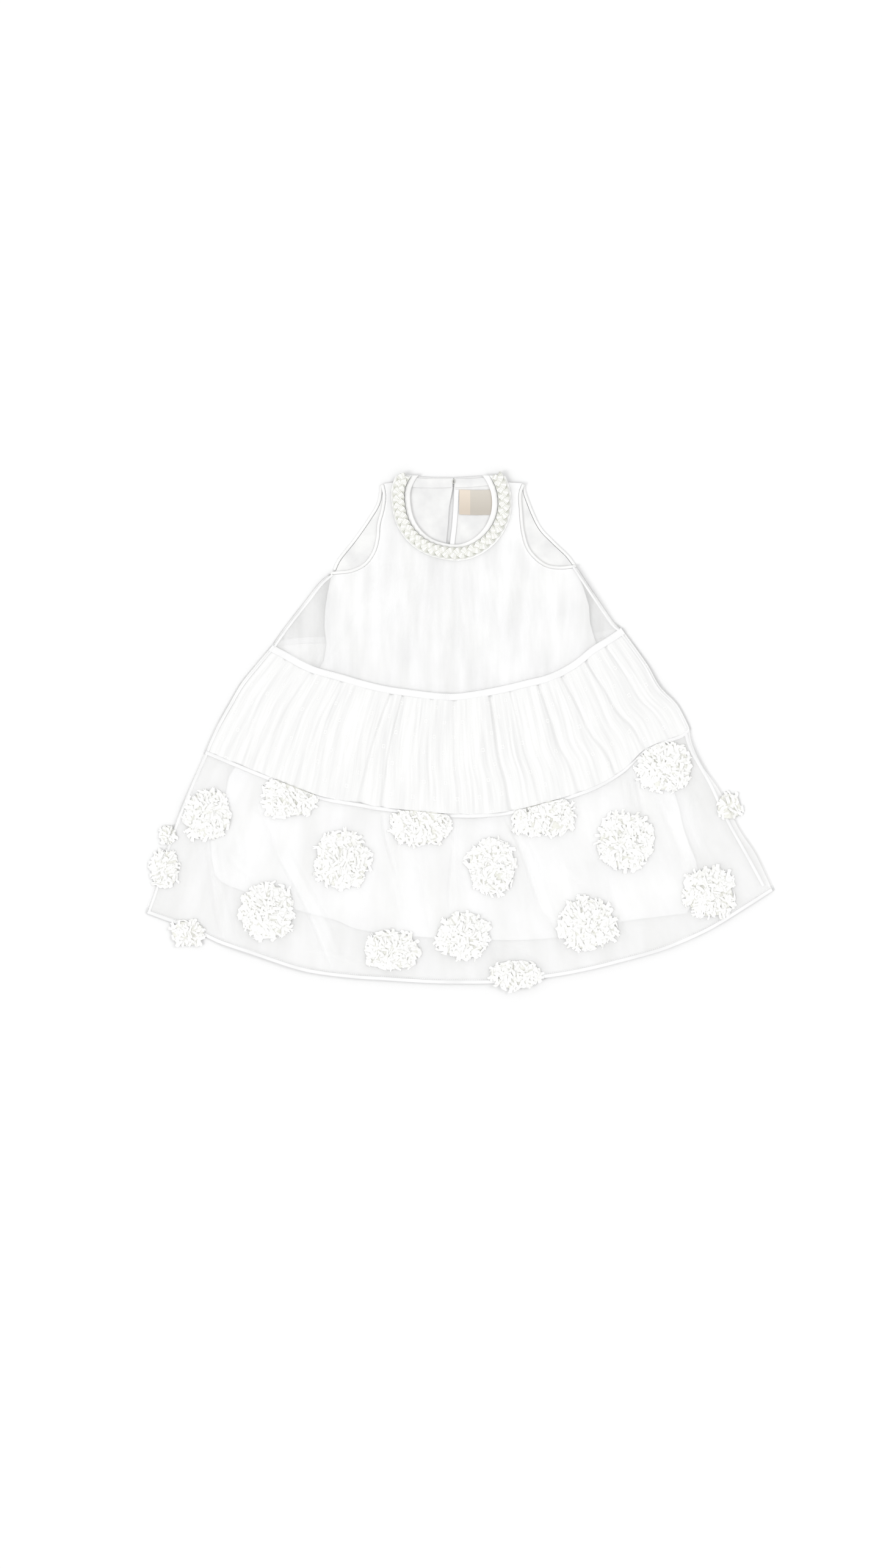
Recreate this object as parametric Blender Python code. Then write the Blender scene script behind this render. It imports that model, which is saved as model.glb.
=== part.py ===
"""Sleeveless tiered party dress for a small child, laid flat on its back.

The neck points to +Y and the front faces +Z.  The pieces are those that a maker
cuts: yokes, gauze tiers, hem tiers and linings for the front and the back, with
their seam bands, bindings and hems, a plaited neck trim, a bare label and
ruffled rosettes.  Lengths in the tables are millimetres: x from the centre line,
drop down from the line of the shoulders.
"""
import math

import bmesh
import bpy
from mathutils import Vector
from mathutils.bvhtree import BVHTree
from mathutils.geometry import delaunay_2d_cdt

MM = 0.001

# Levels above the table, and the walls of the cloth
GAP = 0.3
BACK_WALL = 1.0
LINING_WALL = 1.0
FRONT_WALL = 1.2
BACK_LINING_LEVEL = BACK_WALL + GAP
FRONT_LINING_LEVEL = BACK_LINING_LEVEL + LINING_WALL + GAP
OVER_BACK = BACK_WALL + GAP
OVER_LINING = FRONT_LINING_LEVEL + LINING_WALL + 0.6
INSIDE_LEVEL = FRONT_LINING_LEVEL

# Widths of bands and bindings
UPPER_BAND = 11.0
LOWER_BAND = 5.5
HEM_BAND = 7.4
ARM_BINDING = 4.6
FRONT_INSET = 0.003

# Neck: a rounded scoop, the same centre for binding, braid and panels
NECK_X = -11.0
NECK_DROP = 29.4
NECK_TOP = -12.0
SCOOP = (62.6, 64.4)
BINDING_OUTER = (71.8, 70.0)
YOKE_EDGE = (72.1, 70.3)
BRAID_INNER = (72.4, 70.6)
BRAID_OUTER = (89.2, 86.0)
FLAT_NECK = (91.0, 88.0)
LINING_EDGE = (73.6, 71.8)
NECK_SLACK = 0.045
BRAID_PLAITS = 15
BRAID_STEPS = 60

# Gathers and pleats
YOKE_GATHERS = 16
GATHER_SPACING = 9.0
GATHER_DEPTH = 1.1
TIER_PLEATS = 64
PLEAT_DEPTH = 1.7
SEAM_STATIONS = 32

# Outline of the panels: rows of (x, drop)
SHOULDER_LEFT = ((-89.1, -12.0), (-95.0, -1.0))
SHOULDER_RIGHT = ((73.0, -1.0), (67.1, -12.0))
FRONT_ARMHOLE_LEFT = ((-116, 2), (-113, 18), (-115, 38), (-121, 61), (-123, 84), (-129, 104),
                      (-142, 121), (-161, 130), (-177, 132), (-192, 134))
FRONT_ARMHOLE_RIGHT = ((101, 2), (96, 17), (97, 40), (100, 72), (109, 100), (130, 120),
                       (151, 125), (178, 123))
BACK_ARMHOLE_LEFT = ((-117, 2), (-121, 28), (-134, 51), (-157, 84), (-180, 113), (-188, 130))
BACK_ARMHOLE_RIGHT = ((102, 2), (104, 17), (123, 62), (144, 86), (166, 107), (178, 123))
YOKE_SIDE_LEFT = ((-192, 134), (-209, 149), (-230, 176), (-253, 205), (-270, 228), (-280, 243))
YOKE_SIDE_RIGHT = ((178, 123), (207, 167), (236, 209), (247, 217))
MID_SIDE_LEFT = ((-280, 243), (-303, 270), (-328, 301), (-345, 330), (-361, 358), (-374, 385),
                 (-381, 402))
MID_SIDE_RIGHT = ((247, 217), (285, 269), (306, 305), (332, 332), (350, 366))
HEM_SIDE_LEFT = ((-381, 402), (-396, 436), (-409, 466), (-423, 500), (-434, 530), (-447, 570),
                 (-458, 610), (-471, 647))
HEM_SIDE_RIGHT = ((350, 366), (354, 390), (369, 423), (397, 463), (426, 520), (451, 558), (477, 613))
UPPER_SEAM = ((-280, 243), (-257, 255), (-234, 268), (-211, 278), (-178, 287), (-144, 297),
              (-111, 305), (-79, 310), (-29, 316), (6, 316), (60, 307), (102, 297), (137, 288),
              (172, 270), (201, 247), (225, 232), (247, 217))
LOWER_SEAM = ((-381, 402), (-336, 421), (-297, 437), (-253, 454), (-219, 467), (-190, 475),
              (-142, 483), (-113, 488), (-5, 498), (68, 495), (130, 481), (200, 459), (248, 432),
              (280, 402), (313, 387), (339, 377), (350, 366))
BACK_UPPER_SEAM = ((-280, 243), (-261, 236), (-203, 231), (0, 228), (180, 227), (247, 217))
BACK_LOWER_SEAM = ((-381, 402), (-300, 412), (-150, 424), (0, 428), (150, 416), (280, 390), (350, 366))
HEM_LINE = ((-471, 647), (-439, 659), (-398, 674), (-362, 692), (-304, 712), (-251, 730), (-213, 739),
            (-155, 746), (-109, 749), (-45, 753), (6, 754), (58, 753), (141, 744), (196, 734),
            (245, 722), (300, 707), (335, 694), (384, 671), (439, 637), (477, 613))
LINING_SIDE_LEFT = ((-191, 142), (-199, 182), (-201, 215), (-202, 268), (-225, 375), (-276, 513),
                    (-327, 651))
LINING_SIDE_RIGHT = ((179, 131), (190, 160), (199, 191), (204, 230), (221, 329), (267, 467),
                     (329, 642))
LINING_HEM = ((-327, 651), (-258, 670), (-175, 684), (-92, 688), (0, 689), (92, 685), (184, 674),
              (267, 656), (329, 642))

# Centre back slit: drop, x of its middle, width
SLIT = ((-8.5, -6.0, 1.0), (10.0, -7.0, 2.4), (35.0, -10.0, 6.0), (63.0, -12.0, 6.0),
        (93.0, -15.0, 5.0), (125.0, -16.0, 1.0))
PLACKET_WIDTH = 6.8
LABEL_BOX = (2.2, 8.0, 57.0, 47.0)

# Creases: x and drop where each starts and ends, half width, depth
HEM_CREASES = ((-392, 470, -355, 690, 10, 3.0), (-280, 470, -262, 560, 12, 2.6),
               (-262, 575, -190, 725, 9, 3.4), (-113, 500, -90, 640, 8, 3.4),
               (-30, 620, -22, 730, 12, 2.0), (-9, 512, -11, 660, 8, 2.6),
               (74, 508, 150, 700, 8, 3.6), (150, 600, 178, 620, 12, 2.0),
               (262, 440, 300, 560, 10, 3.2), (303, 470, 345, 600, 11, 3.0),
               (225, 600, 300, 660, 12, 2.4))
MID_CREASES = ((0.10, 0.07, 9, 1.6), (0.20, 0.16, 8, 1.4), (0.33, 0.315, 9, 2.4), (0.375, 0.365, 7, 2.2),
               (0.50, 0.505, 8, 1.8), (0.61, 0.615, 9, 2.6), (0.74, 0.74, 8, 1.8), (0.84, 0.86, 9, 2.6),
               (0.93, 0.94, 8, 1.6))
YOKE_CREASE = ((-132, 159), (-151, 201), (-174, 241), (-197, 268))

# Rosettes: name, x, drop, width, depth, level of the cloth under it, waves
ROSETTES = (
    ("rosette_left_seam", -377, 500, 75, 81, 3.2, 6),
    ("rosette_upper_left", -253, 470, 87, 74, 5.0, 6),
    ("rosette_upper_middle", -56, 515, 100, 66, 5.0, 6),
    ("rosette_upper_right", 128, 500, 104, 68, 5.0, 6),
    ("rosette_right_seam", 312, 428, 88, 80, 3.2, 6),
    ("rosette_mid_left", -174, 568, 87, 94, 5.0, 6),
    ("rosette_mid_centre", 51, 577, 77, 90, 5.0, 6),
    ("rosette_mid_right", 252, 539, 90, 94, 5.0, 6),
    ("rosette_low_left", -287, 645, 88, 90, 5.0, 6),
    ("rosette_low_left_centre", -99, 704, 87, 64, 4.2, 6),
    ("rosette_low_centre", 8, 682, 84, 75, 5.0, 6),
    ("rosette_low_right_centre", 194, 664, 92, 86, 5.0, 6),
    ("rosette_low_right", 379, 617, 84, 82, 3.2, 6),
    ("rosette_hem", 87, 741, 88, 46, 4.2, 5),
    ("rosette_left_edge", -442, 581, 47, 62, 1.3, 4),
    ("rosette_left_edge_small", -437, 530, 28, 30, 1.3, 3),
    ("rosette_hem_left", -407, 678, 58, 42, 1.3, 4),
    ("rosette_right_edge", 409, 487, 40, 44, 1.3, 4),
)
ROSETTE_RISE = 12.0
ROSETTE_MARGIN = 3.0


def mix(a, b, share):
    return a + (b - a) * share


def ease(value):
    value = min(1.0, max(0.0, value))
    return value * value * (3.0 - 2.0 * value)


def bell(value):
    return ease(1.0 - abs(value))


class Path:
    """Smooth curve through (x, drop) rows, read by the share of its length."""

    def __init__(self, rows, fine=8):
        rows = [Vector(row[:2]) for row in rows]
        self.points = []
        for i in range(len(rows) - 1):
            before = rows[max(i - 1, 0)]
            after = rows[min(i + 2, len(rows) - 1)]
            for k in range(fine):
                t = k / fine
                self.points.append(0.5 * (2.0 * rows[i] + (rows[i + 1] - before) * t
                                          + (2.0 * before - 5.0 * rows[i] + 4.0 * rows[i + 1] - after) * t * t
                                          + (3.0 * rows[i] - before - 3.0 * rows[i + 1] + after) * t * t * t))
        self.points.append(rows[-1])
        self.lengths = [0.0]
        for a, b in zip(self.points, self.points[1:]):
            self.lengths.append(self.lengths[-1] + (b - a).length)

    def at(self, share):
        goal = min(1.0, max(0.0, share)) * self.lengths[-1]
        low = 0
        high = len(self.lengths) - 1
        while high - low > 1:
            middle = (low + high) // 2
            if self.lengths[middle] <= goal:
                low = middle
            else:
                high = middle
        span = self.lengths[high] - self.lengths[low]
        return self.points[low].lerp(self.points[high], (goal - self.lengths[low]) / span if span else 0.0)

    def run(self, count):
        return [self.at(i / count) for i in range(count + 1)]

    def drop_at(self, x):
        for a, b in zip(self.points, self.points[1:]):
            if a.x <= x <= b.x:
                return mix(a.y, b.y, (x - a.x) / max(b.x - a.x, 1e-6))
        return self.points[0].y if x < self.points[0].x else self.points[-1].y


class Seam(Path):
    """A seam in straight stitches between stations that both its sides share."""

    def __init__(self, rows):
        super().__init__(rows)
        self.stations = [Path.at(self, across(i / SEAM_STATIONS)) for i in range(SEAM_STATIONS + 1)]

    def at(self, share):
        place = (share - FRONT_INSET) / (1.0 - 2.0 * FRONT_INSET) * SEAM_STATIONS
        index = max(0, min(SEAM_STATIONS - 1, math.floor(place + 1e-6)))
        return self.stations[index] + (self.stations[index + 1] - self.stations[index]) * (place - index)


class Tier:
    """A tier between two seams and two sides, read at u across and v down."""

    def __init__(self, top, bottom, left, right):
        self.top = Seam(top)
        self.bottom = Path(bottom) if bottom is HEM_LINE else Seam(bottom)
        self.left = Path(left)
        self.right = Path(right)

    def at(self, u, v):
        top = self.top.at(u)
        bottom = self.bottom.at(u)
        left = self.left.at(v)
        right = self.right.at(v)
        corners = (self.top.points[0].lerp(self.top.points[-1], u)
                   .lerp(self.bottom.points[0].lerp(self.bottom.points[-1], u), v))
        return top.lerp(bottom, v) + left.lerp(right, u) - corners

    def depth(self, u):
        return (self.bottom.at(u) - self.top.at(u)).length

    def down(self, u, distance):
        """Point `distance` below the top seam, or above the bottom one if negative."""
        depth = self.depth(u)
        return self.at(u, distance / depth if distance >= 0.0 else 1.0 + distance / depth)


def across(share):
    """Share across a back tier for a share across the narrower front one."""
    return mix(FRONT_INSET, 1.0 - FRONT_INSET, share)


def offset(points, distance, side):
    """Points moved in from an armhole: side is 1 on the left, -1 on the right."""
    moved = []
    for i, point in enumerate(points):
        along = (points[min(i + 1, len(points) - 1)] - points[max(i - 1, 0)]).normalized()
        moved.append(point + Vector((along.y, -along.x)) * distance * side)
    return moved


def distance_to(points, spot):
    """Shortest distance from a spot to a chain of points."""
    best = 1e9
    for a, b in zip(points, points[1:]):
        line = b - a
        share = max(0.0, min(1.0, (spot - a).dot(line) / max(line.length_squared, 1e-9)))
        best = min(best, (spot - a - line * share).length)
    return best


def is_inside(points, spot):
    inside = False
    for a, b in zip(points, points[1:] + points[:1]):
        if (a.y > spot.y) != (b.y > spot.y):
            if spot.x < a.x + (spot.y - a.y) / (b.y - a.y) * (b.x - a.x):
                inside = not inside
    return inside


def ellipse(size, share, top=NECK_TOP):
    """Point on the neck scoop, left shoulder (0) to right (1), a little flatter at its lower left."""
    end = math.asin((top - NECK_DROP) / size[1])
    angle = mix(math.pi - end, end, share)
    turn = angle / math.pi
    reach = 1.0 - NECK_SLACK * ease(6.0 * (1.12 - turn)) * ease(5.0 * (turn - 0.38))
    return Vector((NECK_X + reach * size[0] * math.cos(angle), NECK_DROP + reach * size[1] * math.sin(angle)))


FRONT_MID = Tier(UPPER_SEAM, LOWER_SEAM, MID_SIDE_LEFT, MID_SIDE_RIGHT)
FRONT_HEM = Tier(LOWER_SEAM, HEM_LINE, HEM_SIDE_LEFT, HEM_SIDE_RIGHT)
BACK_MID = Tier(BACK_UPPER_SEAM, BACK_LOWER_SEAM, MID_SIDE_LEFT, MID_SIDE_RIGHT)
BACK_HEM = Tier(BACK_LOWER_SEAM, HEM_LINE, HEM_SIDE_LEFT, HEM_SIDE_RIGHT)
BACK_STATIONS = [0.0] + [across(i / SEAM_STATIONS) for i in range(1, SEAM_STATIONS)] + [1.0]
LINING_LEFT = Path(LINING_SIDE_LEFT)
LINING_RIGHT = Path(LINING_SIDE_RIGHT)
LINING_FOOT = Path(LINING_HEM)
LINING_SHAPE = ([Vector((-192, 139)), Vector((-100, 0)), Vector((80, 0)), Vector((178, 128))]
                + LINING_RIGHT.run(12) + LINING_FOOT.run(16)[::-1] + LINING_LEFT.run(12)[::-1])


def rest_height(spot):
    """Level of the front cloth before folds: over the lining, or down on the back."""
    if is_inside(LINING_SHAPE, spot):
        return OVER_LINING
    away = distance_to(LINING_SHAPE + LINING_SHAPE[:1], spot)
    return mix(OVER_LINING, OVER_BACK, ease((away - 13.0) / 24.0))


def under_rosettes(spot, height):
    """Cloth drawn flat where a rosette is sewn on, easing off round it."""
    pulls = []
    for _name, x, drop, width, depth, level, _waves in ROSETTES:
        reach = max(abs(spot.x - x) / (0.5 * width), abs(spot.y - drop) / (0.5 * depth))
        radial = math.hypot((spot.x - x) / (0.5 * width), (spot.y - drop) / (0.5 * depth))
        away = (radial - 1.0) * 0.25 * (width + depth)
        if reach < 4.0:
            share = 1.0 - ease((away - ROSETTE_MARGIN - 1.0) / 22.0)
            if share >= 1.0:
                return level
            pulls.append((share, level))
    if not pulls:
        return height
    share, level = max(pulls)
    return mix(height, level, share)


def hem_tier_height(u, spot):
    rise = 3.2 * ease(min(u, 1.0 - u) * 930.0 / 60.0)
    low = 1.0
    for x0, drop0, x1, drop1, half, depth in HEM_CREASES:
        line = Vector((x1 - x0, drop1 - drop0))
        share = max(0.0, min(1.0, (spot - Vector((x0, drop0))).dot(line) / line.length_squared))
        away = (spot - Vector((x0, drop0)) - line * share).length
        fade = ease(min(share, 1.0 - share) * 4.0 + 0.35)
        low = min(low, 1.0 - bell(away / (1.8 * half)) * fade * depth / 3.6)
    return under_rosettes(spot, rest_height(spot) + rise * (0.15 + 0.85 * low))


def mid_tier_height(u, v, spot, pleat):
    rise = mix(1.2, 3.0, ease(v)) * ease(min(u, 1.0 - u) * 800.0 / 40.0)
    width = 2.0 * 370.0
    for top_u, bottom_u, half, depth in MID_CREASES:
        away = (u - mix(top_u, bottom_u, v)) * width
        rise -= depth * bell(away / (1.8 * half)) * ease(v * 1.6) * 0.9
    depth = PLEAT_DEPTH * (0.25 + 0.75 * ease(min(v, 1.0 - v) * 4.0 + 0.1))
    depth *= ease(min(u, 1.0 - u) * 40.0 + 0.3)
    return rest_height(spot) + max(0.0, rise) + pleat * depth


def yoke_height(spot, gather):
    """Yoke cloth: flat round the neck, gathered below it, with one long crease."""
    ring = math.hypot((spot.x - NECK_X) / FLAT_NECK[0], (spot.y - NECK_DROP) / FLAT_NECK[1])
    below = ease((ring - 1.0) * 4.0)
    side = min(distance_to(YOKE_LEFT_SIDE, spot), distance_to(YOKE_RIGHT_SIDE, spot))
    rise = 1.8 * below * ease(side / 35.0)
    rise *= 1.0 - 0.8 * bell(distance_to(YOKE_CREASE_LINE, spot) / 14.0)
    fade = below * ease((330.0 - spot.y) / 160.0) * ease((92.0 - abs(spot.x - NECK_X)) / 30.0)
    return rest_height(spot) + rise + gather * GATHER_DEPTH * fade


YOKE_LEFT_SIDE = Path(YOKE_SIDE_LEFT).run(10)
YOKE_RIGHT_SIDE = Path(YOKE_SIDE_RIGHT).run(10)
YOKE_CREASE_LINE = Path(YOKE_CREASE).run(8)


def colour(code):
    """Linear colour of a sRGB hex code."""
    parts = [int(code[i:i + 2], 16) / 255.0 for i in (0, 2, 4)]
    return [p / 12.92 if p <= 0.04045 else ((p + 0.055) / 1.055) ** 2.4 for p in parts] + [1.0]


def cloth(name, code, roughness):
    material = bpy.data.materials.new(name)
    material.use_nodes = True
    shader = material.node_tree.nodes["Principled BSDF"]
    shader.inputs["Base Color"].default_value = colour(code)
    shader.inputs["Roughness"].default_value = roughness
    shader.inputs["Metallic"].default_value = 0.0
    material.diffuse_color = colour(code)
    return material


def add_object(name, bm, code, roughness, smooth):
    bmesh.ops.recalc_face_normals(bm, faces=bm.faces[:])
    mesh = bpy.data.meshes.new(name)
    bm.to_mesh(mesh)
    bm.free()
    if smooth:
        mesh.shade_smooth()
        mesh.set_sharp_from_angle(angle=math.radians(50))
    mesh.materials.append(cloth(name, code, roughness))
    thing = bpy.data.objects.new(name, mesh)
    bpy.context.scene.collection.objects.link(thing)
    return thing


def world(spot, level):
    return Vector((spot.x * MM, -spot.y * MM, level * MM))


def thicken(bm, wall):
    grown = bmesh.ops.extrude_face_region(bm, geom=bm.faces[:])
    for part in grown["geom"]:
        if isinstance(part, bmesh.types.BMVert):
            part.co.z += wall * MM


def cut_cloth(name, edge, inner, rings, height, wall, code, roughness=0.8):
    """A panel cut to its edge, raised by height(spot, tag) and given its wall.

    edge, inner and the rings hold (spot, tag) pairs.
    """
    spots = list(edge)
    lines = [(i, (i + 1) % len(edge)) for i in range(len(edge))]
    for ring in rings:
        start = len(spots)
        spots += ring
        lines += [(start + i, start + (i + 1) % len(ring)) for i in range(len(ring))]
    spots += inner
    flat = [spot for spot, _tag in spots]
    verts, _edges, faces, sources = delaunay_2d_cdt(flat, lines, [], 1, 1e-5, True)[:4]
    bm = bmesh.new()
    made = []
    for place, source in zip(verts, sources):
        tag = spots[source[0]][1] if source else None
        made.append(bm.verts.new(world(place, height(place, tag))))
    outline = [spot for spot, _tag in edge]
    for face in faces:
        if is_inside(outline, sum((verts[i] for i in face), Vector((0.0, 0.0))) / len(face)):
            bm.faces.new([made[i] for i in face])
    thicken(bm, wall)
    return add_object(name, bm, code, roughness, True)


def grid_cloth(name, rows, wall, code, roughness=0.8):
    """A sheet of quads through rows of (spot, level), given its wall."""
    bm = bmesh.new()
    made = [[bm.verts.new(world(spot, level)) for spot, level in row] for row in rows]
    for upper, lower in zip(made, made[1:]):
        for i in range(len(upper) - 1):
            bm.faces.new((upper[i], upper[i + 1], lower[i + 1], lower[i]))
    thicken(bm, wall)
    return add_object(name, bm, code, roughness, True)


def skin(name, sections, code, roughness=0.7, smooth=True):
    """A closed body through sections of (spot, level) points, capped at both ends."""
    bm = bmesh.new()
    made = [[bm.verts.new(world(spot, level)) for spot, level in section] for section in sections]
    count = len(made[0])
    for before, after in zip(made, made[1:]):
        for i in range(count):
            j = (i + 1) % count
            bm.faces.new((before[i], before[j], after[j], after[i]))
    bm.faces.new(made[0])
    bm.faces.new(made[-1][::-1])
    return add_object(name, bm, code, roughness, smooth)


def plain(points):
    return [(Vector(point), None) for point in points]


def filled(edge, step, margin):
    """Grid of spots inside an edge, in staggered rows."""
    points = [spot for spot, _tag in edge]
    closed = points + points[:1]
    left = min(p.x for p in points)
    right = max(p.x for p in points)
    top = min(p.y for p in points)
    bottom = max(p.y for p in points)
    found = []
    row = 0
    drop = top + step
    while drop < bottom:
        x = left + step * (0.5 if row % 2 else 1.0)
        while x < right:
            spot = Vector((x, drop))
            if is_inside(points, spot) and distance_to(closed, spot) > margin:
                found.append((spot, None))
            x += step
        drop += step
        row += 1
    return found


def slit_edges():
    left = [Vector((x - 0.5 * width, drop)) for drop, x, width in SLIT]
    right = [Vector((x + 0.5 * width, drop)) for drop, x, width in SLIT]
    return left, right


def back_top(inset, side_end_left, side_end_right):
    """Top edge of a back panel, from the left underarm over the neck to the right."""
    left = offset(Path(BACK_ARMHOLE_LEFT).run(10), inset, 1)
    right = offset(Path(BACK_ARMHOLE_RIGHT).run(10), inset, -1)
    slit_left, slit_right = slit_edges()
    edge = [side_end_left] + left[::-1]
    edge += [Vector((-95, -1)), Vector((-87, -12)), Vector((-55, -9)), *slit_left]
    edge += slit_right[::-1]
    edge += [Vector((38, -11)), Vector((65, -12)), Vector((73, -1))]
    edge += right + [side_end_right]
    return edge


def make_back():
    edge = back_top(ARM_BINDING + GAP, Vector((-192, 136)), Vector((181, 129)))
    edge += Path(YOKE_SIDE_RIGHT).run(5)[1:-1]
    seam = [BACK_MID.top.at(u) for u in BACK_STATIONS]
    edge += [spot - Vector((0, GAP)) for spot in seam[::-1]]
    edge += Path(YOKE_SIDE_LEFT).run(6)[1:-1][::-1]
    edge = plain(edge)
    cut_cloth("back_yoke", edge, filled(edge, 60.0, 22.0), [], lambda spot, tag: 0.0,
              BACK_WALL, "F4F4F5")

    for name, tier, start, stop, code in (
            ("back_upper_seam_band", BACK_MID, 0.0, UPPER_BAND, "F8F8F8"),
            ("back_mid_tier", BACK_MID, UPPER_BAND + GAP, -GAP, "F3F3F4"),
            ("back_lower_seam_band", BACK_HEM, 0.0, LOWER_BAND, "F8F8F8"),
            ("back_hem_tier", BACK_HEM, LOWER_BAND + GAP, -HEM_BAND - GAP, "F3F3F4"),
            ("back_hem_band", BACK_HEM, -HEM_BAND, -0.01, "F8F8F8")):
        edge = [tier.down(u, start) for u in BACK_STATIONS]
        foot = [tier.down(u, stop) for u in BACK_STATIONS[::-1]]
        if "tier" in name:
            sides = [k / 7 for k in range(1, 7)]
            edge += [tier.at(1.0, v) for v in sides] + foot
            edge += [tier.at(0.0, v) for v in sides[::-1]]
            edge = plain(edge)
            cut_cloth(name, edge, filled(edge, 75.0, 26.0), [], lambda spot, tag: 0.0, BACK_WALL, code)
        else:
            grid_cloth(name, [[(spot, 0.0) for spot in edge], [(spot, 0.0) for spot in foot[::-1]]],
                       BACK_WALL, code)


def lining_edge(top):
    edge = list(top) + LINING_RIGHT.run(8) + LINING_FOOT.run(12)[::-1][1:-1] + LINING_LEFT.run(8)[::-1]
    return plain(edge)


def make_linings():
    edge = lining_edge(back_top(ARM_BINDING + GAP, Vector((-190, 137)), Vector((177, 128))))
    cut_cloth("back_lining", edge, filled(edge, 75.0, 25.0), [],
              lambda spot, tag: BACK_LINING_LEVEL, LINING_WALL, "F7F7F8")
    edge = lining_edge(front_top(LINING_EDGE))
    cut_cloth("front_lining", edge, filled(edge, 75.0, 25.0), [],
              lambda spot, tag: FRONT_LINING_LEVEL, LINING_WALL, "F7F7F8")


def front_top(neck_size):
    """Top edge of a front panel, from the left underarm round the neck to the right."""
    inset = ARM_BINDING + GAP
    left = offset(Path(FRONT_ARMHOLE_LEFT).run(16), inset, 1)
    right = offset(Path(FRONT_ARMHOLE_RIGHT).run(16), inset, -1)
    neck = [ellipse(neck_size, i / 30) for i in range(31)]
    return (left[::-1] + [Vector(row) for row in SHOULDER_LEFT[::-1]] + neck
            + [Vector(row) for row in SHOULDER_RIGHT[::-1]] + right)


def make_yoke():
    edge = front_top(YOKE_EDGE)
    edge += [spot + Vector((-1.5, 0.5)) for spot in Path(YOKE_SIDE_RIGHT).run(7)[1:-1]]
    seam = [FRONT_MID.top.at(across(i / 32)) - Vector((0, GAP)) for i in range(33)]
    edge += seam[::-1]
    edge += [spot + Vector((1.5, 0.5)) for spot in Path(YOKE_SIDE_LEFT).run(8)[1:-1][::-1]]
    edge = [(spot, 0.0) for spot in edge]
    points = [spot for spot, _tag in edge]
    closed = points + points[:1]

    ring = [(ellipse(FLAT_NECK, i / 30, -3.0), 0.0) for i in range(31)]
    ring_points = [spot for spot, _tag in ring]
    inner = list(ring)
    lines = 2 * YOKE_GATHERS + 1
    for i in range(lines):
        x0 = NECK_X + (i - YOKE_GATHERS) * 0.5 * GATHER_SPACING
        crest = 1.0 if i % 2 else 0.0
        for k in range(5):
            share = (k + 0.35 * (i % 2)) / 4.4
            drop = mix(NECK_DROP + FLAT_NECK[1] + 5.0, 298.0, share)
            spread = 1.0 + 0.9 * share + 0.05 * math.sin(1.7 * i + 2.3 * k)
            spot = Vector((NECK_X + (x0 - NECK_X) * spread, drop))
            if is_inside(points, spot) and distance_to(closed, spot) > 6.0:
                inner.append((spot, crest))
    for spot, tag in filled(edge, 21.0, 8.0):
        near = min((spot - other).length for other, _tag in inner)
        ringed = math.hypot((spot.x - NECK_X) / FLAT_NECK[0], (spot.y - NECK_DROP) / FLAT_NECK[1])
        if near > 11.0 and ringed > 1.12:
            inner.append((spot, 0.0))
    inner = [pair for pair in inner if is_inside(points, pair[0])
             and (pair in ring or distance_to(ring_points, pair[0]) > 3.5)]
    cut_cloth("front_yoke", edge, inner, [], lambda spot, tag: yoke_height(spot, tag or 0.0),
              FRONT_WALL, "F2F2F4", 0.7)


def make_front_bands():
    columns = TIER_PLEATS // 2
    rows = []
    for v in (0.0, UPPER_BAND):
        row = []
        for i in range(columns + 1):
            u = across(i / columns)
            spot = FRONT_MID.down(u, v)
            row.append((spot, mid_tier_height(u, 0.0, spot, 0.0)))
        rows.append(row)
    grid_cloth("front_upper_seam_band", rows, FRONT_WALL + 0.3, "FBFBFA")

    rows = []
    for v in (0.0, LOWER_BAND):
        row = []
        for i in range(columns + 1):
            u = across(i / columns)
            spot = FRONT_HEM.down(u, v)
            row.append((spot, hem_tier_height(u, spot)))
        rows.append(row)
    grid_cloth("front_lower_seam_band", rows, FRONT_WALL, "F9F9F8")

    rows = [[], []]
    for i in range(57):
        u = across(i / 56)
        for row, spot in zip(rows, (FRONT_HEM.down(u, -HEM_BAND), FRONT_HEM.at(u, 1.0))):
            row.append((spot, hem_tier_height(u, spot)))
    grid_cloth("front_hem_band", rows, FRONT_WALL, "F9F9F8")


def make_mid_tier():
    columns = 2 * TIER_PLEATS
    rows = []
    steps = 3
    for k in range(steps + 1):
        row = []
        for i in range(columns + 1):
            u = across(i / columns)
            v = k / steps
            wander = 0.0016 * math.sin(0.9 * i + 2.1 * k) * math.sin(math.pi * v)
            u_bent = min(1.0 - FRONT_INSET, max(FRONT_INSET, u + wander)) if 0 < i < columns else u
            depth = FRONT_MID.depth(u_bent)
            upper = (UPPER_BAND + GAP) / depth
            lower = 1.0 - GAP / depth
            spot = FRONT_MID.at(u_bent, mix(upper, lower, v))
            row.append((spot, mid_tier_height(u_bent, v, spot, float(i % 2))))
        rows.append(row)
    grid_cloth("front_mid_tier", rows, FRONT_WALL + 0.2, "F5F5F5", 0.9)


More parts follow.
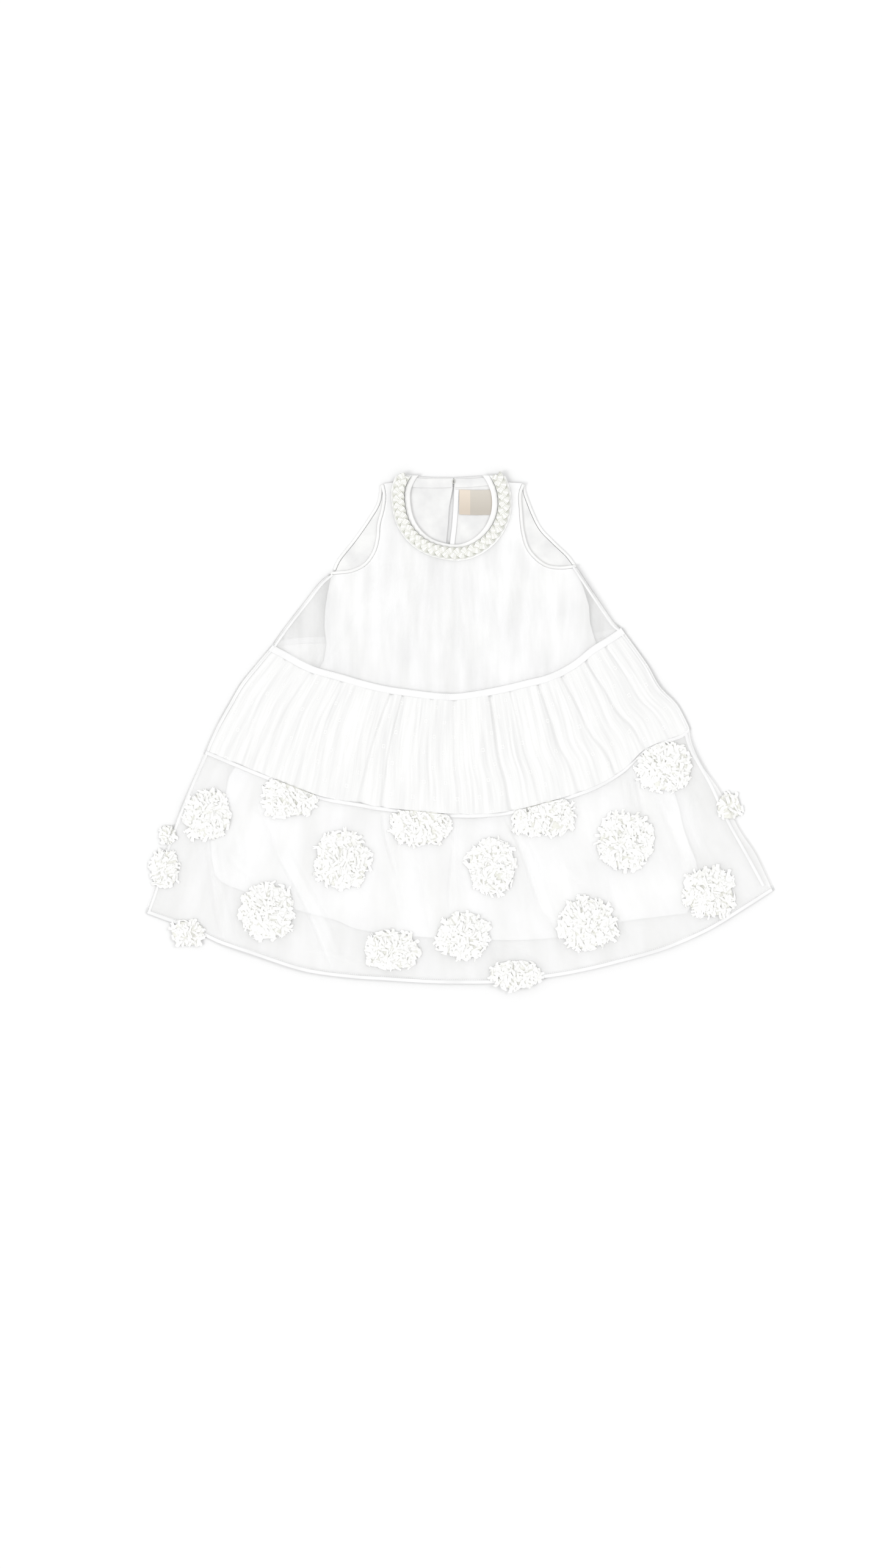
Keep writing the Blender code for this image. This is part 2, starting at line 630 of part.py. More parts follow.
def make_hem_tier():
    edge = []
    for i in range(TIER_PLEATS // 2 + 1):
        u = across(i / (TIER_PLEATS // 2))
        edge.append((FRONT_HEM.down(u, LOWER_BAND + GAP), u))
    for k in range(1, 9):
        edge.append((FRONT_HEM.at(across(1.0), 0.02 + 0.94 * k / 9), across(1.0)))
    for i in range(57):
        u = across(1.0 - i / 56)
        edge.append((FRONT_HEM.down(u, -HEM_BAND - GAP), u))
    for k in range(8, 0, -1):
        edge.append((FRONT_HEM.at(across(0.0), 0.02 + 0.94 * k / 9), across(0.0)))
    points = [spot for spot, _tag in edge]
    closed = points + points[:1]

    inner = []
    for _name, x, drop, width, depth, _level, waves in ROSETTES:
        count = 4 * waves
        for i in range(count):
            angle = 2.0 * math.pi * i / count
            spot = Vector((x + (0.5 * width + ROSETTE_MARGIN) * math.cos(angle),
                           drop + (0.5 * depth + ROSETTE_MARGIN) * math.sin(angle)))
            if is_inside(points, spot) and distance_to(closed, spot) > 2.5:
                inner.append((spot, 0.5))
        if is_inside(points, Vector((x, drop))):
            inner.append((Vector((x, drop)), 0.5))

    def is_free(spot, gap):
        for _name, x, drop, width, depth, _level, _waves in ROSETTES:
            radial = math.hypot((spot.x - x) / (0.5 * width + ROSETTE_MARGIN + 0.6 * gap),
                                (spot.y - drop) / (0.5 * depth + ROSETTE_MARGIN + 0.6 * gap))
            if radial < 1.0:
                return False
        return is_inside(points, spot) and distance_to(closed, spot) > gap

    for x0, drop0, x1, drop1, half, _depth in HEM_CREASES:
        line = Vector((x1 - x0, drop1 - drop0))
        aside = Vector((line.y, -line.x)).normalized() * half
        count = max(2, round(line.length / 30.0))
        for i in range(count + 1):
            middle = Vector((x0, drop0)) + line * (i / count)
            for shift in (-1.7, -0.8, 0.0, 0.8, 1.7):
                spot = middle + aside * shift
                if is_free(spot, 5.0):
                    if all((spot - other).length > 5.0 for other, _tag in inner):
                        inner.append((spot, None))
    for k in range(1, 9):
        for i in range(1, 32):
            spot = FRONT_HEM.at((i + 0.5 * (k % 2)) / 32.5, k / 9)
            if is_free(spot, 9.0) and all((spot - other).length > 14.0 for other, _tag in inner):
                inner.append((spot, None))

    def height(spot, tag):
        if tag is None:
            share = (spot.x + 471.0 + 0.3 * (647.0 - spot.y)) / 948.0
            tag = min(1.0, max(0.0, share))
            tag = max(tag, 0.08) if distance_to(FRONT_HEM.left.points, spot) > 40.0 else tag
            tag = min(tag, 0.92) if distance_to(FRONT_HEM.right.points, spot) > 40.0 else tag
        return hem_tier_height(tag, spot)

    cut_cloth("front_hem_tier", edge, inner, [], height, FRONT_WALL, "F1F1F4", 0.7)


def make_neck():
    """Rolled binding, plaited trim, and what shows inside the back of the neck."""
    sections = []
    for i in range(41):
        share = i / 40
        inner = ellipse(SCOOP, share)
        outer = ellipse(BINDING_OUTER, share)
        sections.append([(inner, 4.2), (inner.lerp(outer, 0.12), 3.7), (inner.lerp(outer, 1.0), 3.7),
                         (inner.lerp(outer, 1.0), 5.6), (inner.lerp(outer, 0.7), 6.2),
                         (inner.lerp(outer, 0.2), 5.9)])
    skin("neck_binding", sections, "FCFCFB", 0.6)

    sections = []
    low = OVER_LINING + FRONT_WALL + GAP
    for i in range(BRAID_STEPS + 1):
        share = i / BRAID_STEPS
        inner = ellipse(BRAID_INNER, share)
        outer = ellipse(BRAID_OUTER, share)
        turn = 2.0 * math.pi * BRAID_PLAITS * share
        near = 0.05 + 0.05 * math.sin(turn)
        far = 0.95 + 0.05 * math.sin(turn)
        sections.append([(inner.lerp(outer, near), low), (inner.lerp(outer, near), low + 1.8),
                         (inner.lerp(outer, 0.30), low + 3.4 + 0.9 * math.sin(turn)),
                         (inner.lerp(outer, 0.70), low + 3.4 - 0.9 * math.sin(turn)),
                         (inner.lerp(outer, far), low + 1.8), (inner.lerp(outer, far), low)])
    skin("neck_braid", sections, "E9E6DC", 0.35)

    slit_left, slit_right = slit_edges()
    for name, ends in (("back_neck_facing_left", ((-71.0, -9.0, -78.0, 5.0), (-7.2, -7.5, -8.6, 6.0))),
                       ("back_neck_facing_right", ((-4.9, -7.5, -4.6, 6.0), (49.0, -10.0, 55.5, 1.5)))):
        sections = []
        for i in range(9):
            share = i / 8
            x0, top, x1, foot = [mix(a, b, share) for a, b in zip(*ends)]
            sag = 1.6 * math.sin(math.pi * share)
            corners = (Vector((x0, top + sag)), Vector((x1, foot + sag)))
            sections.append([(corners[0], INSIDE_LEVEL), (corners[1], INSIDE_LEVEL),
                             (corners[1], INSIDE_LEVEL + 0.8), (corners[0], INSIDE_LEVEL + 0.8)])
        skin(name, sections, "F9F9F9", 0.8, False)

    sections = []
    edge = Path([(x + 0.5 * width, drop) for drop, x, width in SLIT])
    for i in range(9):
        spot = edge.at(mix(0.135, 0.80, i / 8)) + Vector((0.5, 0.0))
        far = spot + Vector((PLACKET_WIDTH, 0.0))
        sections.append([(spot, INSIDE_LEVEL), (far, INSIDE_LEVEL), (far, INSIDE_LEVEL + 0.8),
                         (spot, INSIDE_LEVEL + 0.8)])
    skin("slit_placket", sections, "FBFBFA", 0.7, False)

    left, top, right, foot = LABEL_BOX
    sections = []
    for i in range(7):
        x = mix(left, right, i / 6)
        bow = 0.9 * math.sin(math.pi * i / 6)
        high = top + 1.5 + bow if i else top + 1.5
        sections.append([(Vector((x, high)), INSIDE_LEVEL), (Vector((x, foot + bow)), INSIDE_LEVEL),
                         (Vector((x, foot + bow)), INSIDE_LEVEL + 0.7), (Vector((x, high)), INSIDE_LEVEL + 0.7)])
    skin("neck_label", sections, "B7A794", 0.6, False)

    bm = bmesh.new()
    rings = []
    centre = world(Vector((-6.0, -2.5)), INSIDE_LEVEL + 0.8 + GAP + 0.5)
    for i in range(12):
        turn = 2.0 * math.pi * i / 12
        arm = Vector((math.cos(turn), math.sin(turn), 0.0))
        ring = []
        for k in range(5):
            bend = 2.0 * math.pi * k / 5
            ring.append(bm.verts.new(centre + arm * (2.4 + 0.5 * math.cos(bend)) * MM
                                     + Vector((0.0, 0.0, 0.5 * MM * math.sin(bend)))))
        rings.append(ring)
    for i in range(12):
        for k in range(5):
            bm.faces.new((rings[i][k], rings[(i + 1) % 12][k], rings[(i + 1) % 12][(k + 1) % 5],
                          rings[i][(k + 1) % 5]))
    add_object("slit_loop", bm, "F4F2EC", 0.5, True)


def make_armholes():
    for name, rows, side, low, high in (
            ("armhole_binding_front_left", FRONT_ARMHOLE_LEFT, 1, 2.6, 5.6),
            ("armhole_binding_front_right", FRONT_ARMHOLE_RIGHT, -1, 2.6, 5.6),
            ("armhole_binding_back_left", BACK_ARMHOLE_LEFT, 1, 0.0, 2.3),
            ("armhole_binding_back_right", BACK_ARMHOLE_RIGHT, -1, 0.0, 2.3)):
        steps = 16 if "front" in name else 10
        outer = Path(rows).run(steps)
        inner = offset(outer, ARM_BINDING, side)
        middle = offset(outer, 0.5 * ARM_BINDING, side)
        sections = []
        for a, b, c in zip(outer, middle, inner):
            sections.append([(a, low), (c, low), (c, high - 0.5), (b, high), (a, high - 0.7)])
        skin(name, sections, "FBFBFA", 0.7)


def front_surface():
    """Top of the front cloth that the rosettes are sewn to, as one tree of faces."""
    points = []
    faces = []
    for name in ("front_mid_tier", "front_lower_seam_band", "front_hem_tier", "front_hem_band"):
        mesh = bpy.data.objects[name].data
        faces += [[len(points) + i for i in face.vertices] for face in mesh.polygons]
        points += [vert.co.copy() for vert in mesh.vertices]
    return BVHTree.FromPolygons(points, faces)


def highest_under(surface, spots, level):
    """Highest cloth below a rosette's footprint, in millimetres."""
    top = level
    for spot in spots:
        hit = surface.ray_cast(world(spot, 60.0), Vector((0.0, 0.0, -1.0)))
        if hit[0]:
            top = max(top, hit[0].z / MM)
    return top


def make_rosette(name, x, drop, width, depth, level, waves, turn, surface):
    """Ruffled disc: wavy rim, two raised rounds of frill and a sunk middle."""
    rise = ROSETTE_RISE * (0.55 + 0.45 * min(1.0, min(width, depth) / 75.0))
    middle = Vector((x, drop))
    steps = 3 * waves
    clipped = name.startswith("rosette_upper") or name == "rosette_right_seam"

    def reach(angle, share):
        direction = Vector((0.5 * width * math.cos(angle), 0.5 * depth * math.sin(angle)))
        scale = 1.0
        while clipped and scale > 0.2:
            rim = middle + direction * 1.06 * scale
            if rim.y >= FRONT_HEM.top.drop_at(rim.x) + LOWER_BAND + GAP + 0.6:
                break
            scale -= 0.02
        return middle + direction * scale * share

    spots = [reach(2.0 * math.pi * i / 36, ring / 6) for ring in range(7) for i in range(36)]
    seat = highest_under(surface, spots, level) + GAP
    rings = (
        (0.90, 0.0, 0.00, 0.00),
        (1.00, 0.34, 0.06, 0.05),
        (0.74, 0.92, 0.05, -0.08),
        (0.42, 0.98, 0.08, 0.10),
    )
    bm = bmesh.new()
    made = []
    for index, (share, height, sway, bob) in enumerate(rings):
        ring = []
        for i in range(steps):
            angle = 2.0 * math.pi * i / steps
            wave = math.cos(waves * angle + turn + 1.9 * index)
            spot = reach(angle, share * (1.0 + sway * wave) / 1.06)
            ring.append(bm.verts.new(world(spot, seat + rise * max(0.0, height + bob * wave))))
        made.append(ring)
    for lower, upper in zip(made, made[1:]):
        for i in range(steps):
            j = (i + 1) % steps
            bm.faces.new((lower[i], lower[j], upper[j], upper[i]))
    crown = bm.verts.new(world(middle.lerp(reach(0.0, 0.1), 0.0), seat + rise * 0.78))
    for i in range(steps):
        bm.faces.new((made[-1][i], made[-1][(i + 1) % steps], crown))
    bm.faces.new(made[0][::-1])
    add_object(name, bm, "F6F5F1", 0.75, False)


def centre_on_box():
    """Put the middle of the dress's footprint on the origin, its underside on z = 0."""
    things = bpy.context.scene.collection.objects
    corners = [vert.co for thing in things for vert in thing.data.vertices]
    shift = Vector((0.5 * (min(c.x for c in corners) + max(c.x for c in corners)),
                    0.5 * (min(c.y for c in corners) + max(c.y for c in corners)),
                    min(c.z for c in corners)))
    for thing in things:
        for vert in thing.data.vertices:
            vert.co -= shift


def main():
    for thing in list(bpy.data.objects):
        bpy.data.objects.remove(thing, do_unlink=True)
    make_back()
    make_linings()
    make_yoke()
    make_front_bands()
    make_mid_tier()
    make_hem_tier()
    make_neck()
    make_armholes()
    surface = front_surface()
    for index, row in enumerate(ROSETTES):
        make_rosette(*row, 0.8 * index, surface)
    centre_on_box()


main()
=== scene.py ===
"""Surface and finish of a child's tiered party dress, laid flat and seen from above.

Each piece of cloth lies on the solid that it stands for.  Tables are millimetres:
x from the centre line and drop down from the line of the shoulders.
"""

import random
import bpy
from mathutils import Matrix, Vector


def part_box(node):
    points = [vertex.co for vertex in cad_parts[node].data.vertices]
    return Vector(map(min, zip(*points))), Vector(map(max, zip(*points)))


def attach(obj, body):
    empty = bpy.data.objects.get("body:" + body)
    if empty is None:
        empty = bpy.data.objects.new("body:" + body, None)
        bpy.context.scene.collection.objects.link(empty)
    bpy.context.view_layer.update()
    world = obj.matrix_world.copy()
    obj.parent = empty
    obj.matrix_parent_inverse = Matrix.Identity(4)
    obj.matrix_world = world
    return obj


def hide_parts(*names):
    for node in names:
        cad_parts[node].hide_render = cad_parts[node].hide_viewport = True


bl_info = {
    "name": "Tiered Party Dress",
    "version": (1, 0, 0),
    "blender": (4, 5, 0),
    "location": "View3D > Sidebar > Dress",
    "description": "Cloth, trims and rosettes of a sleeveless tiered dress laid flat",
    "category": "Object",
}

from math import asin, atan2, copysign, cos, hypot, pi, radians, sin, sqrt

import bmesh
import bpy
import numpy as np
from bpy.props import FloatProperty, FloatVectorProperty, IntProperty, PointerProperty
from mathutils import Vector, noise
from mathutils.bvhtree import BVHTree
from mathutils.geometry import delaunay_2d_cdt

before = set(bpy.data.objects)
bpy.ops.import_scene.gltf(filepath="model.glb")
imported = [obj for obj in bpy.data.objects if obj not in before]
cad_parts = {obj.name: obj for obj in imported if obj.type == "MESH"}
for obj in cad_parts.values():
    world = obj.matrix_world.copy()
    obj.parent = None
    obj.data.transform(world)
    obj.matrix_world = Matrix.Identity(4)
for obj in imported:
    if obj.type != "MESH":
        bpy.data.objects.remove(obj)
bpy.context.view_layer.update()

MM = 0.001
TURN = 2.0 * pi
GOLDEN_ANGLE = 2.39996
PHOTO_ROWS = 2569
PIXEL_MM = 0.92
CAMERA_SPOT = (-0.0283, -0.0777)
UP = Vector((0.0, 0.0, 1.0))

# Solids are read from above them all; a spot beside them takes what lies nearest to mid height
PROBE_LEVEL = 80.0
MIDDLE_LEVEL = 6.0

# Width of a band in its own UVs, and the share of a front tier left free at each side
BAND_UV = 0.012
TIER_END = 0.003
ARMHOLE_INSET = 4.9

# Rosettes: the size in millimetres that has all its petals
FULL_ROSETTE = 88.0

# Levels in millimetres above the surface
BACK_LEVEL = 0.8
BACK_LINING_LEVEL = 2.1
FACING_LEVEL = 3.35
FRONT_LINING_LEVEL = 3.5

# Where the tables' zero lies in the frame: the label's corner is at (2.2, 9.5)
_label_low, _label_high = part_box("neck_label")
ZERO_X = _label_low[0] - 2.2 * MM
ZERO_Y = _label_high[1] + 9.5 * MM

# Outline of the panels, the same rows as the solids
FRONT_ARMHOLE_LEFT = (
    (-116, 2), (-113, 18), (-115, 38), (-121, 61), (-123, 84), (-129, 104), (-142, 121), (-161, 130),
    (-177, 132), (-192, 134),
)
FRONT_ARMHOLE_RIGHT = (
    (101, 2), (96, 17), (97, 40), (100, 72), (109, 100), (130, 120), (151, 125), (178, 123),
)
BACK_ARMHOLE_LEFT = ((-117, 2), (-121, 28), (-134, 51), (-157, 84), (-180, 113), (-188, 130))
BACK_ARMHOLE_RIGHT = ((102, 2), (104, 17), (123, 62), (144, 86), (166, 107), (178, 123))
YOKE_SIDE_LEFT = ((-192, 134), (-209, 149), (-230, 176), (-253, 205), (-270, 228), (-280, 243))
YOKE_SIDE_RIGHT = ((178, 123), (207, 167), (236, 209), (247, 217))
MID_SIDE_LEFT = ((-280, 243), (-303, 270), (-328, 301), (-345, 330), (-361, 358), (-374, 385), (-381, 402))
MID_SIDE_RIGHT = ((247, 217), (285, 269), (306, 305), (332, 332), (350, 366))
HEM_SIDE_LEFT = (
    (-381, 402), (-396, 436), (-409, 466), (-423, 500), (-434, 530), (-447, 570), (-458, 610), (-471, 647),
)
HEM_SIDE_RIGHT = ((350, 366), (354, 390), (369, 423), (397, 463), (426, 520), (451, 558), (477, 613))
HEM_SEAM_RIGHT = ((344, 372), (352, 400), (366, 425), (383, 455), (408, 508), (437, 560), (462, 606))
UPPER_SEAM = (
    (-280, 243), (-257, 255), (-234, 268), (-211, 278), (-178, 287), (-144, 297), (-111, 305), (-79, 310),
    (-29, 316), (6, 316), (60, 307), (102, 297), (137, 288), (172, 270), (201, 247), (225, 232), (247, 217),
)
LOWER_SEAM = (
    (-381, 402), (-336, 421), (-297, 437), (-253, 454), (-219, 467), (-190, 475), (-142, 483), (-113, 488),
    (-5, 498), (68, 495), (130, 481), (200, 459), (248, 432), (280, 402), (313, 387), (339, 377),
    (350, 366),
)
BACK_UPPER_SEAM = ((-280, 243), (-261, 236), (-203, 231), (0, 228), (180, 227), (247, 217))
BACK_LOWER_SEAM = ((-381, 402), (-300, 412), (-150, 424), (0, 428), (150, 416), (280, 390), (350, 366))
HEM_LINE = (
    (-471, 647), (-439, 659), (-398, 674), (-362, 692), (-304, 712), (-251, 730), (-213, 739), (-155, 746),
    (-109, 749), (-45, 753), (6, 754), (58, 753), (141, 744), (196, 734), (245, 722), (300, 707),
    (335, 694), (384, 671), (439, 637), (477, 613),
)
LINING_SIDE_LEFT = (
    (-191, 142), (-199, 182), (-201, 215), (-202, 268), (-262, 350), (-338, 430), (-352, 480), (-372, 540),
    (-366, 590),
)
LINING_SIDE_RIGHT = (
    (179, 131), (190, 160), (199, 191), (204, 230), (250, 340), (325, 462), (334, 500), (347, 540),
    (362, 580), (360, 620), (345, 648),
)
LINING_HEM = (
    (-366, 590), (-350, 604), (-300, 622), (-245, 642), (-185, 658), (-150, 672), (-92, 680), (0, 687),
    (92, 688), (150, 684), (200, 672), (250, 660), (345, 648),
)
SHOULDER_LEFT = ((-95, -1), (-89.1, -12))
SHOULDER_RIGHT = ((67.1, -12), (73, -1))

# The slit: drop, x and width
SLIT = ((-8.5, -6.0, 1.0), (10.0, -7.0, 2.4), (35.0, -10.0, 6.0), (63.0, -12.0, 6.0),
        (93.0, -15.0, 5.0), (125.0, -16.0, 1.0))

# The neck scoop: centre, top, and half width and half depth of each ring
NECK = (-11.0, 29.4)
NECK_TOP = -12.0
SCOOP = (62.6, 64.4)
BINDING_OUTER = (71.8, 70.0)
BRAID_MIDDLE = (80.8, 78.3)
NECK_SLACK = 0.045

# The plait: half the width that its strands swing, and the cords' pitch within a strand
PLAIT_SWING = 5.0
CORD_PITCH = 1.9

# Creases: start, end, half width, depth (+ a ridge)
HEM_CREASES = (
    (-392, 476, -352, 690, 5, -1.8), (-378, 470, -336, 700, 6, 1.0), (-268, 560, -190, 728, 4, -2.4),
    (-250, 560, -176, 716, 7, 1.3), (-300, 480, -272, 560, 8, -1.3), (-113, 497, -94, 600, 4, -2.6),
    (-102, 500, -84, 650, 6, 1.2), (-9, 506, -12, 650, 3, -1.8), (0, 506, -4, 640, 4, 0.9),
    (72, 503, 128, 640, 4, -2.8), (84, 505, 150, 660, 6, 1.4), (128, 640, 160, 700, 7, -1.6),
    (262, 436, 296, 540, 6, -2.2), (250, 450, 270, 500, 6, 1.2), (303, 470, 345, 590, 8, -1.8),
    (345, 470, 372, 560, 9, 1.1), (150, 575, 190, 610, 8, -1.4), (-345, 560, -300, 610, 7, -1.3),
    (-330, 520, -322, 600, 8, 1.0), (20, 640, 60, 720, 8, -1.2), (-60, 570, -40, 690, 9, -1.1),
    (225, 600, 262, 690, 8, -1.2), (60, 700, 130, 715, 6, -1.0), (-230, 700, -150, 720, 6, 0.8),
)
YOKE_CREASES = (
    (-130, 155, -196, 276, 5, -1.2), (-118, 160, -186, 280, 6, 0.8), (-60, 130, -70, 300, 8, 0.5),
    (30, 130, 46, 300, 8, 0.5), (80, 120, 130, 280, 7, -0.7), (110, 140, 165, 255, 7, 0.6),
    (-5, 140, 0, 300, 6, -0.5), (-100, 110, -150, 200, 6, -0.6),
)
LINING_CREASES = (
    (-62, 38, -20, 20, 7, 0.8), (-60, 66, -18, 42, 9, 0.9), (-2, 52, 44, 66, 8, 0.7),
    (-70, 20, -30, 8, 6, 0.6), (-48, 84, -16, 64, 7, 0.6),
)

# Creases of the gauze: share across at the top and bottom, half width, depth
MID_CREASES = (
    (0.05, 0.02, 6, -1.0), (0.13, 0.11, 6, -1.4), (0.21, 0.19, 6, -1.2), (0.345, 0.315, 6, -2.2),
    (0.375, 0.36, 4, -1.6), (0.45, 0.455, 6, -1.0), (0.51, 0.515, 7, -1.3), (0.605, 0.613, 6, -2.4),
    (0.66, 0.67, 5, -1.0), (0.735, 0.75, 6, -1.5), (0.80, 0.83, 6, -2.0), (0.875, 0.905, 6, -2.0),
    (0.94, 0.955, 5, -1.2),
)

# Rosettes: node, x, drop, width, depth
ROSETTES = (
    ("rosette_left_seam", -377, 500, 75, 81), ("rosette_upper_left", -253, 470, 87, 74),
    ("rosette_upper_middle", -56, 515, 100, 66), ("rosette_upper_right", 128, 500, 104, 68),
    ("rosette_right_seam", 312, 428, 88, 80), ("rosette_mid_left", -174, 568, 87, 94),
    ("rosette_mid_centre", 51, 577, 77, 90), ("rosette_mid_right", 252, 539, 90, 94),
    ("rosette_low_left", -287, 645, 88, 90), ("rosette_low_left_centre", -99, 704, 87, 64),
    ("rosette_low_centre", 8, 682, 84, 75), ("rosette_low_right_centre", 194, 664, 92, 86),
    ("rosette_low_right", 379, 617, 84, 82), ("rosette_hem", 87, 741, 88, 46),
    ("rosette_left_edge", -442, 581, 47, 62), ("rosette_left_edge_small", -437, 530, 28, 30),
    ("rosette_hem_left", -407, 678, 58, 42), ("rosette_right_edge", 409, 487, 40, 44),
)


def mix(a, b, share):
    return a + (b - a) * share


def clamp(value, low, high):
    return min(high, max(low, value))


def ease(value):
    value = clamp(value, 0.0, 1.0)
    return value * value * (3.0 - 2.0 * value)


def bell(value):
    return ease(1.0 - abs(value))


def rough(x, y, z):
    return noise.noise(Vector((x, y, z)))


def slack(spot, size_mm, height, seed=0.0):
    """Slow unevenness of cloth laid by hand."""
    return height * rough(spot.x / size_mm, spot.y / size_mm, seed)


def place(spot, level):
    """Point of the frame for a spot of the tables and a level in millimetres."""
    return Vector((ZERO_X + spot.x * MM, ZERO_Y - spot.y * MM, level * MM))


def heading(points, i):
    return (points[min(i + 1, len(points) - 1)] - points[max(i - 1, 0)]).normalized()


def offset(points, distance, side):
    moved = []
    for i, point in enumerate(points):
        along = heading(points, i)
        moved.append(point + Vector((along.y, -along.x)) * distance * side)
    return moved


class Path:
    """Smooth curve through (x, drop) rows, read by the share of its length."""

    def __init__(self, rows, fine=8):
        rows = [Vector(row) for row in rows]
        self.points = []
        for i in range(len(rows) - 1):
            a, b = rows[i:i + 2]
            before = rows[max(i - 1, 0)]
            after = rows[min(i + 2, len(rows) - 1)]
            for k in range(fine):
                t = k / fine
                self.points.append(0.5 * (2.0 * a + (b - before) * t
                                          + (2.0 * before - 5.0 * a + 4.0 * b - after) * t * t
                                          + (3.0 * a - before - 3.0 * b + after) * t * t * t))
        self.points.append(rows[-1])
        steps = [(b - a).length for a, b in zip(self.points, self.points[1:])]
        self.lengths = np.concatenate(([0.0], np.cumsum(steps)))

    def at(self, share):
        goal = clamp(share, 0.0, 1.0) * self.lengths[-1]
        low = min(len(self.lengths) - 2, int(np.searchsorted(self.lengths, goal, side="right")) - 1)
        span = self.lengths[low + 1] - self.lengths[low]
        return self.points[low].lerp(self.points[low + 1], (goal - self.lengths[low]) / span)

    def run(self, count):
        return [self.at(i / count) for i in range(count + 1)]

    def drop_at(self, x):
        for a, b in zip(self.points, self.points[1:]):
            if a.x <= x < b.x:
                return mix(a.y, b.y, (x - a.x) / (b.x - a.x))
        return self.points[0].y if x < self.points[0].x else self.points[-1].y


class Tier:
    """A tier between two seams and two sides, read at u across and v down.

    A line across it is a seam (0 the top, 1 the bottom) and the millimetres below that.
    """

    def __init__(self, *edges):
        self.top, self.bottom, self.left, self.right = [Path(rows) for rows in edges]

    def at(self, u, v):
        top = self.top.points
        bottom = self.bottom.points
        corners = top[0].lerp(top[-1], u).lerp(bottom[0].lerp(bottom[-1], u), v)
        return self.top.at(u).lerp(self.bottom.at(u), v) + self.left.at(v).lerp(self.right.at(v), u) - corners

    def depth(self, u):
        return (self.bottom.at(u) - self.top.at(u)).length

    def row(self, line, count, end):
        """Spots along a line, from the share left free at one side to that at the other."""
        across = [mix(end, 1.0 - end, i / count) for i in range(count + 1)]
        return [self.at(u, line[0] + line[1] / self.depth(u)) for u in across]

    def shares(self, columns, rows, lines, end=0.0, calm=(0.0, 0.0)):
        """(u, v) of a grid between two lines, with the shares across and down kept off its edges."""
        found = []
        for r in range(rows + 1):
            down = clamp(r / rows, calm[1], 1.0 - calm[1])
            for c in range(columns + 1):
                u = mix(end, 1.0 - end, clamp(c / columns, calm[0], 1.0 - calm[0]))
                upper, lower = [seam + below / self.depth(u) for seam, below in lines]
                found.append((u, mix(upper, lower, down)))
        return found


FRONT_MID = Tier(UPPER_SEAM, LOWER_SEAM, MID_SIDE_LEFT, MID_SIDE_RIGHT)
FRONT_HEM = Tier(LOWER_SEAM, HEM_LINE, HEM_SIDE_LEFT, HEM_SIDE_RIGHT)
BACK_MID = Tier(BACK_UPPER_SEAM, BACK_LOWER_SEAM, MID_SIDE_LEFT, MID_SIDE_RIGHT)
BACK_HEM = Tier(BACK_LOWER_SEAM, HEM_LINE, HEM_SIDE_LEFT, HEM_SIDE_RIGHT)


class Cover:
    """Top of some solids, read as a level in millimetres."""

    def __init__(self, *names):
        points = []
        faces = []
        for name in names:
            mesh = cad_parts[name].data
            faces += [[len(points) + i for i in face.vertices] for face in mesh.polygons]
            points += [vert.co.copy() for vert in mesh.vertices]
        self.tree = BVHTree.FromPolygons(points, faces)

    def level(self, spot):
        hit = self.tree.ray_cast(place(spot, PROBE_LEVEL), -UP)[0]
        if hit is None:
            hit = self.tree.find_nearest(place(spot, MIDDLE_LEVEL))[0]
        return hit.z / MM

    def grid(self, spots, columns):
        return np.array([self.level(spot) for spot in spots]).reshape(-1, columns + 1)


def ellipse(size, share):
    """Point on the neck scoop, left shoulder (0) to right (1), a little flatter at its lower left."""
    end = asin((NECK_TOP - NECK[1]) / size[1])
    angle = mix(pi - end, end, share)
    turn = angle / pi
    reach = 1.0 - NECK_SLACK * ease(6.0 * (1.12 - turn)) * ease(5.0 * (turn - 0.38))
    return Vector((NECK[0] + reach * size[0] * cos(angle), NECK[1] + reach * size[1] * sin(angle)))


def blur(levels, across, down):
    """Soften a grid of levels across and then down, with its edges repeated outwards."""
    for passes in (across, down):
        levels = levels.T
        for _ in range(passes):
            padded = np.pad(levels, ((1, 1), (0, 0)), mode="edge")
            levels = (padded[:-2] + 2.0 * padded[1:-1] + padded[2:]) / 4.0
    return levels


def linear(code):
    parts = [int(code[i:i + 2], 16) / 255.0 for i in (1, 3, 5)]
    return [p / 12.92 if p <= 0.04045 else ((p + 0.055) / 1.055) ** 2.4 for p in parts] + [1.0]


def add_node(tree, kind, inputs=(), take=0, **settings):
    """Add a shader node, its inputs set or linked, and give back one of its outputs."""
    node = tree.nodes.new("ShaderNode" + kind)
    for key, value in settings.items():
        setattr(node, key, value)
    for key, value in dict(inputs).items():
        if isinstance(value, bpy.types.NodeSocket):
            tree.links.new(value, node.inputs[key])
        else:
            node.inputs[key].default_value = value
    return node.outputs[take]


def calc(tree, operation, *terms):
    return add_node(tree, "Math", enumerate(terms), operation=operation)


def blend(tree, share, first, second, **settings):
    """Mix two tones, each a hex code, a colour or a socket."""
    first, second = [linear(tone) if isinstance(tone, str) else tone for tone in (first, second)]
    return add_node(tree, "MixRGB", {"Fac": share, "Color1": first, "Color2": second}, **settings)


def spread(tree, value, low, high, top=1.0, **settings):
    """Turn a value between low and high into a share, up to top."""
    ends = {"Value": value, "From Min": low, "From Max": high, "To Max": top}
    return add_node(tree, "MapRange", ends, **settings)


def start_material(name, roughness, **sockets):
    """New material; its Principled shader's sockets are set straight on it."""
    material = bpy.data.materials.new(name)
    material.use_nodes = True
    shader = material.node_tree.nodes["Principled BSDF"].inputs
    shader["Roughness"].default_value = roughness
    for key, value in sockets.items():
        shader[key.replace("_", " ")].default_value = value
    return material, material.node_tree, add_node(material.node_tree, "UVMap", uv_map="cloth")


